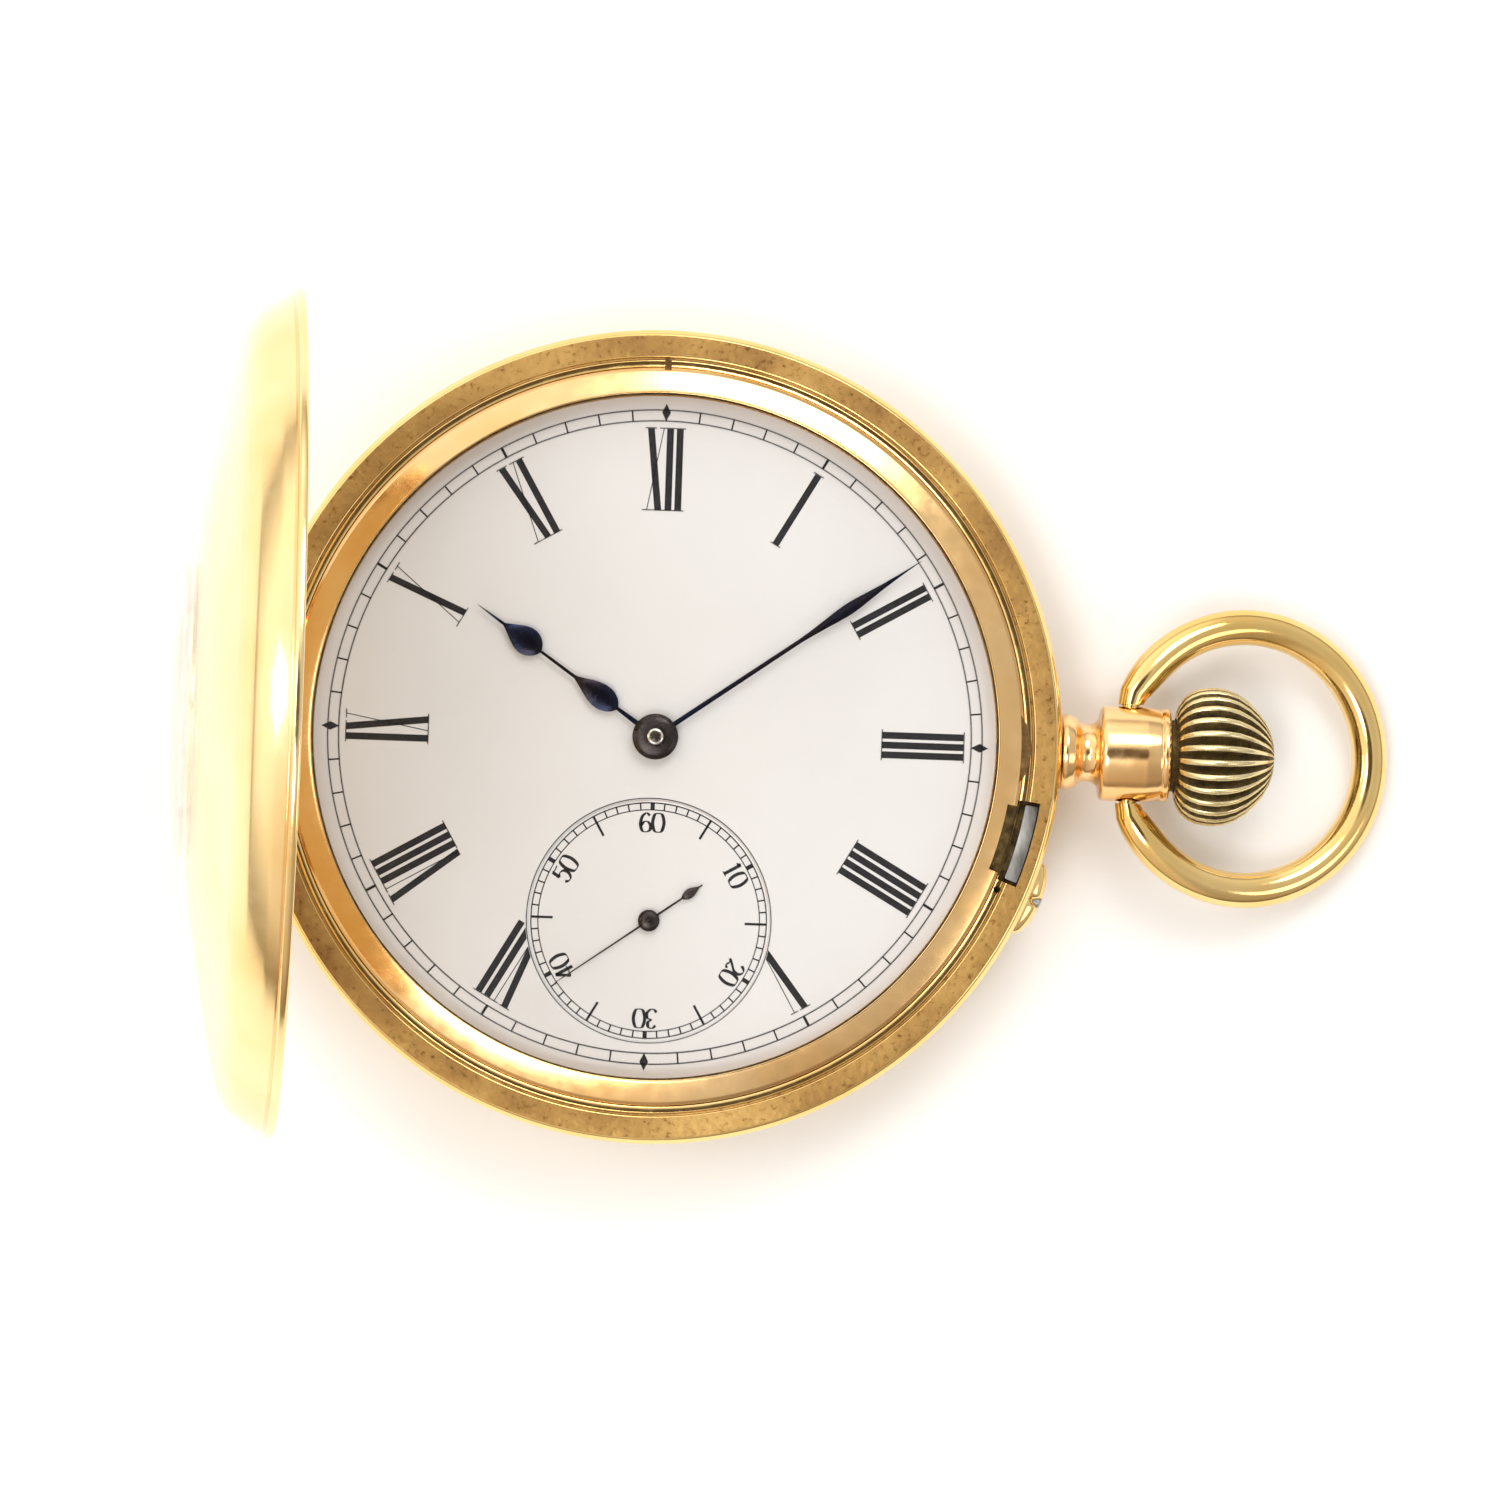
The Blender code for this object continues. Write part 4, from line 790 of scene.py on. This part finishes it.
def dial():
    """Enamel plate with a sunk seconds dial whose wall is rounded."""
    sink_facets = 140
    hole = circle(1.32, 48)
    sink = circle(SINK_R, sink_facets, SUBDIAL_AT)
    upper = plate([circle(DIAL_R, 240), hole, sink], 5.9, DIAL_TOP)
    piece("dial_plate", upper, ENAMEL, "case", ["dial"])
    disc = circle(SINK_R - 0.02, sink_facets, SUBDIAL_AT)
    lower = plate([disc, circle(0.42, 24, SUBDIAL_AT)], 5.92, SUBDIAL_FLOOR)
    piece("seconds_plate", lower, ENAMEL, "case")
    bm = bmesh.new()
    rings = []
    for inset, z in ((-0.01, DIAL_TOP), (0.02, DIAL_TOP - 0.02), (0.05, DIAL_TOP - 0.06),
                     (0.08, SUBDIAL_FLOOR + 0.05), (0.11, SUBDIAL_FLOOR + 0.01),
                     (0.16, SUBDIAL_FLOOR + 0.001), (0.16, SUBDIAL_FLOOR - 0.05),
                     (-0.01, SUBDIAL_FLOOR - 0.05)):
        edge = circle(SINK_R - inset, sink_facets, SUBDIAL_AT)
        rings.append([bm.verts.new((x, y, z)) for x, y in edge])
    skin(bm, rings, wrap=True)
    piece("seconds_wall", bm, ENAMEL, "case")


class Print:
    """Flat ink shapes laid on the dial."""

    def __init__(self, level):
        self.bm = bmesh.new()
        self.level = level

    def shape(self, outline):
        """Thin plate of one convex outline."""
        rims = []
        for lift in (-0.004, PRINT):
            rims.append([self.bm.verts.new((x, y, self.level + lift)) for x, y in outline])
        self.bm.faces.new(rims[0][::-1])
        self.bm.faces.new(rims[1])
        for i in range(len(outline)):
            self.bm.faces.new((rims[0][i - 1], rims[0][i], rims[1][i], rims[1][i - 1]))

    def ring(self, radius, width, centre=(0.0, 0.0), facets=240):
        for i in range(facets):
            a, b = TAU * i / facets, TAU * (i + 1) / facets
            self.shape([on_circle(radius - width / 2, a, centre),
                        on_circle(radius + width / 2, a, centre),
                        on_circle(radius + width / 2, b, centre),
                        on_circle(radius - width / 2, b, centre)])

    def bar(self, place, half, low, high):
        """Straight bar along a radius."""
        self.shape([place(-half, low), place(half, low), place(half, high), place(-half, high)])

    def ribbon(self, left, right):
        """Stroke between two edges with as many points each."""
        for i in range(len(left) - 1):
            self.shape([left[i], right[i], right[i + 1], left[i + 1]])

    def store(self, name):
        bmesh.ops.recalc_face_normals(self.bm, faces=self.bm.faces[:])
        piece(name, self.bm, INK, "case")


def radial(clock_deg, centre=(0.0, 0.0)):
    """Placer from (across clockwise, outward) to the dial, at an angle from 12."""
    a = math.radians(clock_deg)

    def place(u, v):
        return (centre[0] + v * math.sin(a) + u * math.cos(a),
                centre[1] + v * math.cos(a) - u * math.sin(a))
    return place


LETTERS = {"I": 0.42, "V": 1.09, "X": 1.0}
HOURS = ((12, "XII"), (1, "I"), (2, "II"), (3, "III"), (4, "IIII"), (5, "V"),
         (7, "VII"), (8, "VIII"), (9, "IX"), (10, "X"), (11, "XI"))


def clear_of_seconds(low, high):
    """Start of a stroke moved outward until it is clear of the seconds dial."""
    def inside(p):
        return math.hypot(p[0] - SUBDIAL_AT[0], p[1] - SUBDIAL_AT[1]) < CUT_R
    if not inside(low):
        return low
    a, b = 0.0, 1.0
    for _ in range(24):
        mid = (a + b) / 2
        a, b = (mid, b) if inside(between(low, high, mid)) else (a, mid)
    return between(low, high, b)


def numeral(ink, text, clock_deg):
    """Roman numeral with its foot towards the dial's centre."""
    place = radial(clock_deg)
    low, high = NUMERAL_LOW, NUMERAL_HIGH
    total = sum(LETTERS[c] for c in text) + LETTER_GAP * (len(text) - 1)
    start = -total / 2

    def stroke(u0, u1, width):
        """Straight stroke from u0 at the base to u1 at the top, of a width across."""
        ends = [(place(u0 + s * width / 2, low), place(u1 + s * width / 2, high))
                for s in (-1, 1)]
        steps = 6
        ink.ribbon(*[[between(clear_of_seconds(p, q), q, k / steps) for k in range(steps + 1)]
                     for p, q in ends])

    def serif(u, width, v):
        corners = [place(u + x * (width / 2 + SERIF), v + y * 0.035)
                   for x, y in ((-1, -1), (1, -1), (1, 1), (-1, 1))]
        if all(clear_of_seconds(p, (0.0, 0.0)) == p for p in corners):
            ink.shape(corners)

    for letter in text:
        width = LETTERS[letter]
        middle = start + width / 2
        if letter == "I":
            stroke(middle, middle, THICK)
            serif(middle, THICK, low)
            serif(middle, THICK, high)
        elif letter == "V":
            stroke(start + 0.88, start + 0.21, THICK)
            stroke(start + 0.92, start + 0.94, THIN)
            serif(start + 0.21, THICK, high)
            serif(start + 0.94, 0.2, high)
        else:
            stroke(start + 0.77, start + 0.2, THICK)
            stroke(start + 0.08, start + 1.0, THIN)
            serif(start + 0.2, THICK, high)
            serif(start + 1.0, 0.25, high)
            serif(start + 0.08, 0.3, low)
            serif(start + 0.77, THICK, low)
        start += width + LETTER_GAP


def chapter_ring():
    """Minute track, diamonds at the quarters, Roman hours and the seconds dial's edge line."""
    ink = Print(DIAL_TOP)
    for radius in (MINUTES_IN, MINUTES_OUT):
        ink.ring(radius, 0.085)
    for minute in range(60):
        place = radial(6.0 * minute)
        if minute % 15:
            half = 0.085 if minute % 5 == 0 else 0.05
            ink.bar(place, half, MINUTES_IN, MINUTES_OUT)
        else:
            ink.shape([place(0.0, 19.42), place(0.27, 19.97), place(0.0, 20.52),
                       place(-0.27, 19.97)])
    for hour, text in HOURS:
        numeral(ink, text, 30.0 * hour)
    ink.ring(SINK_R + 0.04, 0.06, SUBDIAL_AT, 160)
    ink.store("chapter_print")


def jewels():
    """Ruby bearings set in the bridges and the balance cock."""
    hole, rim = 0.4, 0.85
    for name, node, joint in (("jewel_third", "train_bridge", "third_turn"),
                              ("jewel_fourth", "train_bridge", "seconds_turn"),
                              ("jewel_balance", "balance_cock", "balance_swing")):
        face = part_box(node)[0].z / MM
        ring = rounded([(hole, face - 0.09), (rim, face - 0.09), (rim, face + 0.02),
                        (hole, face + 0.02)], 0.05)
        place = Matrix.Translation((*joint_at(joint).xy, 0.0))
        piece(name, moved(lathe(ring, 40), place), JEWEL, "case")


def smooth_path(points, per):
    """Smooth curve through points, with this many steps between each two."""
    out = []
    count = len(points)
    for i in range(count - 1):
        p0, p1 = points[max(i - 1, 0)], points[i]
        p2, p3 = points[i + 1], points[min(i + 2, count - 1)]
        for k in range(per):
            t = k / per
            out.append(tuple(0.5 * (2 * p1[d] + (p2[d] - p0[d]) * t
                                    + (2 * p0[d] - 5 * p1[d] + 4 * p2[d] - p3[d]) * t * t
                                    + (3 * p1[d] - p0[d] - 3 * p2[d] + p3[d]) * t ** 3)
                             for d in (0, 1)))
    out.append(points[-1])
    return out


# pen paths of the figures, one unit high
DIGITS = {
    "0": [[(0, 1), (-.2, .92), (-.3, .5), (-.2, .08), (0, 0), (.2, .08), (.3, .5), (.2, .92),
           (0, 1)]],
    "1": [[(.02, 0), (.02, .5), (.02, 1)], [(-.16, .84), (-.06, .9), (.02, 1)],
          [(-.14, 0), (.18, 0)]],
    "2": [[(-.24, .76), (-.12, .95), (.06, 1), (.24, .82), (.2, .55), (-.05, .28), (-.26, .02)],
          [(-.27, .05), (-.05, .1), (.12, .02), (.27, .14)]],
    "3": [[(-.22, .84), (-.05, 1), (.16, .93), (.18, .68), (-.02, .54)],
          [(-.02, .54), (.22, .46), (.25, .2), (.05, 0), (-.14, .02), (-.25, .16)]],
    "4": [[(.1, 0), (.1, .5), (.1, 1)], [(.1, 1), (-.1, .64), (-.3, .3)],
          [(-.3, .29), (.28, .29)]],
    "5": [[(.22, .97), (-.02, .93), (-.2, .97)], [(-.2, .97), (-.21, .75), (-.23, .52)],
          [(-.23, .52), (-.02, .63), (.2, .52), (.24, .25), (.06, 0), (-.14, .02), (-.25, .16)]],
    "6": [[(.2, .86), (.02, 1), (-.2, .8), (-.28, .4), (-.18, .06), (.02, 0), (.22, .1),
           (.25, .34), (.1, .54), (-.1, .52), (-.25, .32)]],
}


def digit(ink, text, clock_deg, centre, base, height):
    """Figures with thick upright and thin level strokes, their feet towards the centre."""
    place = radial(clock_deg, centre)
    wide = 0.66 * height
    start = -wide * (len(text) - 1) / 2
    for n, character in enumerate(text):
        for path in DIGITS[character]:
            points = smooth_path(path, 6) if len(path) > 2 else path
            left, right = [], []
            for i, (x, y) in enumerate(points):
                a, b = points[max(i - 1, 0)], points[min(i + 1, len(points) - 1)]
                dx, dy = b[0] - a[0], b[1] - a[1]
                length = math.hypot(dx, dy) or 1.0
                half = 0.028 + 0.06 * abs(dy / length) ** 1.5
                for side, line in ((-1, left), (1, right)):
                    line.append(place(start + n * wide + (x + side * half * dy / length) * height,
                                      base + (y - side * half * dx / length) * height))
            ink.ribbon(left, right)


def seconds_print():
    """Track, ticks and figures of the seconds dial."""
    ink = Print(SUBDIAL_FLOOR)
    for radius, width in ((SECONDS_OUT, 0.075), (SECONDS_IN, 0.065)):
        ink.ring(radius, width, SUBDIAL_AT, 160)
    for second in range(60):
        place = radial(6.0 * second, SUBDIAL_AT)
        long_tick = second % 5 == 0 and second % 10
        inner = 5.9 if long_tick else SECONDS_IN
        half = 0.075 if long_tick else 0.13 if second % 10 == 0 else 0.045
        ink.bar(place, half, inner, SECONDS_OUT)
    for k, text in enumerate(("60", "10", "20", "30", "40", "50")):
        digit(ink, text, 60.0 * k, SUBDIAL_AT, 5.45, 1.16)
    ink.store("seconds_print")


# ------------------------------------------------------------------ hands

def ridged(sections, level, ridge, thick):
    """Hand along +Y with a raised centre line; sections are (distance, half width)."""
    bm = bmesh.new()
    rows = []
    for y, half in sections:
        crest = ridge * min(1.0, half / 0.3)
        rows.append([bm.verts.new(p) for p in (
            (-half, y, level + 0.4 * thick), (0.0, y, level + thick + crest),
            (half, y, level + 0.4 * thick), (half, y, level), (-half, y, level))])
    skin(bm, rows)
    return bm


def spade(base, widest, end, half, stem):
    """Rounded spade that swells from its stem and tapers to a thin point."""
    out = []
    swell, taper = 12, 16
    for k in range(swell + 1):
        t = k / swell
        width = half * math.sin(math.pi / 2 * t) ** 0.55
        out.append((base + (widest - base) * t, max(stem, width)))
    for k in range(1, taper + 1):
        t = k / taper
        width = half * (0.5 + 0.5 * math.cos(math.pi * t)) ** 0.9
        out.append((widest + (end - widest) * t, max(stem, width)))
    return out


def dome(radius, bottom, top, hole=0.0, centre=(0.0, 0.0)):
    """Rounded hub."""
    profile = [(hole, bottom), (radius, bottom), (radius, bottom + 0.35 * (top - bottom)),
               (0.82 * radius, bottom + 0.8 * (top - bottom)), (0.5 * radius, top),
               (hole, top + 0.02)]
    return moved(lathe(rounded(profile, 0.1), 64), Matrix.Translation((*centre, 0.0)))


def hands():
    """Spade hour and minute hands, their hubs and collar, and the seconds hand."""
    hour_turn = Matrix.Rotation(-math.radians(HOUR_DEG), 4, "Z")
    sections = ([(1.1, 0.17), (2.7, 0.12)] + spade(2.9, 4.06, 6.7, 0.77, 0.1) + [(8.3, 0.09)]
                + spade(8.75, 9.8, 12.0, 0.86, 0.09) + [(13.0, 0.05), (13.6, 0.015)])
    piece("hour_hand_blade", ridged(sections, 6.72, 0.07, 0.13), BLUED, "hour_hand",
          ["hour_hand"], matrix=hour_turn)
    piece("hour_hand_hub", dome(1.35, 6.72, 6.9, 1.12), BLUED, "hour_hand")
    minute_turn = Matrix.Rotation(-math.radians(MINUTE_DEG), 4, "Z")
    sections = [(1.15, 0.17), (1.6, 0.15), (6.0, 0.14), (10.6, 0.13), (11.4, 0.16),
                (12.4, 0.23), (13.3, 0.31), (14.15, 0.36), (14.9, 0.33), (15.8, 0.24),
                (16.8, 0.15), (18.0, 0.08), (19.6, 0.015)]
    piece("minute_hand_blade", ridged(sections, 7.0, 0.06, 0.12), BLUED, "minute_hand",
          ["minute_hand"], matrix=minute_turn)
    piece("minute_hand_hub", dome(1.41, 7.0, 7.34, 0.36), HUB, "minute_hand")
    collar = rounded([(0.33, 7.2), (0.52, 7.2), (0.5, 7.42), (0.36, 7.47), (0.33, 7.4)], 0.04)
    piece("minute_hand_collar", lathe(collar, 48), BRIGHT, "minute_hand")
    pin = rounded([(0.0, 7.3), (0.32, 7.3), (0.32, 7.5), (0.0, 7.53)], 0.06)
    piece("centre_pin_end", lathe(pin, 32), HUB, "centre_wheel")
    second_turn = (Matrix.Translation((*SUBDIAL_AT, 0.0))
                   @ Matrix.Rotation(-math.radians(SECOND_DEG), 4, "Z"))
    needle = [(0.5, 0.06), (3.0, 0.05), (6.0, 0.04), (6.97, 0.015)]
    piece("seconds_needle", ridged(needle, 6.4, 0.02, 0.09), HUB, "seconds_hand",
          ["seconds_hand"], matrix=second_turn)
    tail = [(-y, half) for y, half in reversed(
        [(0.5, 0.07), (2.3, 0.06)] + spade(2.45, 3.0, 3.95, 0.3, 0.05))]
    piece("seconds_tail", ridged(tail, 6.4, 0.03, 0.09), HUB, "seconds_hand",
          matrix=second_turn)
    piece("seconds_hub", dome(0.67, 6.38, 6.66, 0.0, SUBDIAL_AT), HUB, "seconds_hand")


# ------------------------------------------------------------------ frame, light and camera

def finish_frame():
    """Procedural finishes on the solids that are shown as they are."""
    by_slot = {"gold": GOLD, "rose_gold": ROSE, "gilt_brass": GILT, "steel": BRUSHED,
               "blued_steel": BLUED, "enamel": ENAMEL, "glass": WINDOW}
    slots = {s["node"]: s["material_slot"] for s in frame["record"]["subparts"]}
    for name, obj in frame["nodes"].items():
        obj.data.materials.clear()
        obj.data.materials.append(by_slot[slots[name]])


def sky():
    """White light tent, with a dark lens hole straight overhead and a dim side towards 6."""
    world = bpy.data.worlds.new("tent")
    world.use_nodes = True
    tree = world.node_tree
    coords = tree.nodes.new("ShaderNodeTexCoord")
    split = tree.nodes.new("ShaderNodeSeparateXYZ")
    tree.links.new(coords.outputs["Generated"], split.inputs["Vector"])
    height = ramp(tree, split.outputs["Z"], [
        (0.0, (0.50, 0.47, 0.43)), (0.10, (0.66, 0.64, 0.61)), (0.32, (1.2, 1.18, 1.15)),
        (0.62, (1.05, 1.04, 1.03)), (0.84, (0.95, 0.95, 0.94)), (0.955, (1.0, 0.99, 0.98)),
        (0.984, (0.10, 0.075, 0.055))])
    side = ramp(tree, split.outputs["X"], [(0.0, (1.7, 1.7, 1.7)), (0.22, (1.0, 1.0, 1.0)),
                                           (0.75, (0.8, 0.8, 0.8))])
    front = ramp(tree, spread(tree, split.outputs["Y"], -1.0, 1.0, 0.0, 1.0), [
        (0.0, (0.38, 0.30, 0.22)), (0.22, (0.72, 0.66, 0.60)), (0.42, (1.05, 1.04, 1.03)),
        (0.75, (1.15, 1.15, 1.15))])
    colour = height
    for shade in (side, front):
        colour = multiplied(tree, colour, shade, 0.85)
    background = tree.nodes["Background"]
    tree.links.new(colour, background.inputs["Color"])
    background.inputs["Strength"].default_value = 0.69
    bpy.context.scene.world = world


def lamps():
    """Soft disks: name, place in metres, size, watts, colour."""
    for name, at, size, power, colour in (
        ("key", (0.16, 0.46, 0.66), 0.36, 1.5, (1.0, 0.99, 0.97)),
        ("left", (-0.55, 0.05, 0.45), 0.22, 0.45, (1.0, 0.98, 0.94)),
        ("fill", (0.5, -0.22, 0.5), 0.3, 0.4, (1.0, 0.98, 0.95)),
        ("top", (-0.3, 0.1, 0.8), 0.3, 0.6, (1.0, 1.0, 1.0)),
        ("dial", (-0.1, -0.2, 0.6), 0.22, 0.85, (1.0, 1.0, 1.0)),
    ):
        light = bpy.data.lights.new(name, "AREA")
        light.shape = "DISK"
        light.size = size
        light.energy = power
        light.color = colour
        lamp = bpy.data.objects.new(name, light)
        lamp.location = at
        lamp.rotation_euler = (-Vector(at)).to_track_quat("-Z", "Y").to_euler()
        bpy.context.scene.collection.objects.link(lamp)


def floor():
    """Plain pale table top just below the watch."""
    half, level = 2.0, bounds_at_load[0][2] - 0.0004
    corners = ((-half, -half), (half, -half), (half, half), (-half, half))
    bm = bmesh.new()
    bm.faces.new([bm.verts.new((x, y, level)) for x, y in corners])
    mesh = bpy.data.meshes.new("table_top")
    bm.to_mesh(mesh)
    bm.free()
    material, tree, shader, at = graph("table_white")
    cloud = noise(tree, at, 6.0, 3.0)
    tree.links.new(ramp(tree, cloud, [(0.3, (0.96, 0.96, 0.96)), (0.7, (0.98, 0.98, 0.98))]),
                   shader.inputs["Base Color"])
    shader.inputs["Roughness"].default_value = 0.9
    shader.inputs["Specular IOR Level"].default_value = 0.1
    mesh.materials.append(material)
    table = bpy.data.objects.new("table_top", mesh)
    bpy.context.scene.collection.objects.link(table)


def camera():
    """Seen from straight above the dial, with the picture's middle between dial and bow."""
    distance = 0.505
    picture_width = 0.092
    roll = math.radians(2.0)
    rim = BAND_Z * MM
    eye = Vector((-0.0048, -0.0117, rim + distance))
    aim = Vector((0.00583, -0.00063, rim))
    data = bpy.data.cameras.new("camera")
    data.sensor_width = 36.0
    data.lens = data.sensor_width * (aim - eye).length / picture_width
    data.clip_start = 0.01
    obj = bpy.data.objects.new("camera", data)
    look = (aim - eye).normalized()
    up = Matrix.Rotation(roll, 3, "Z") @ Vector((0.0, 1.0, 0.0))
    right = look.cross(up).normalized()
    turn = Matrix((right, right.cross(look), -look)).transposed()
    obj.matrix_world = Matrix.Translation(eye) @ turn.to_4x4()
    bpy.context.scene.collection.objects.link(obj)
    bpy.context.scene.camera = obj
    bpy.context.scene.view_settings.view_transform = "Standard"


finish_frame()
case_middle()
bezel()
crystal()
front_cover()
back_cover()
catch_strip()
push_piece()
pendant()
crown()
bow()
cuvette()
dial()
chapter_ring()
jewels()
seconds_print()
hands()
sky()
lamps()
floor()
camera()
bpy.context.view_layer.update()
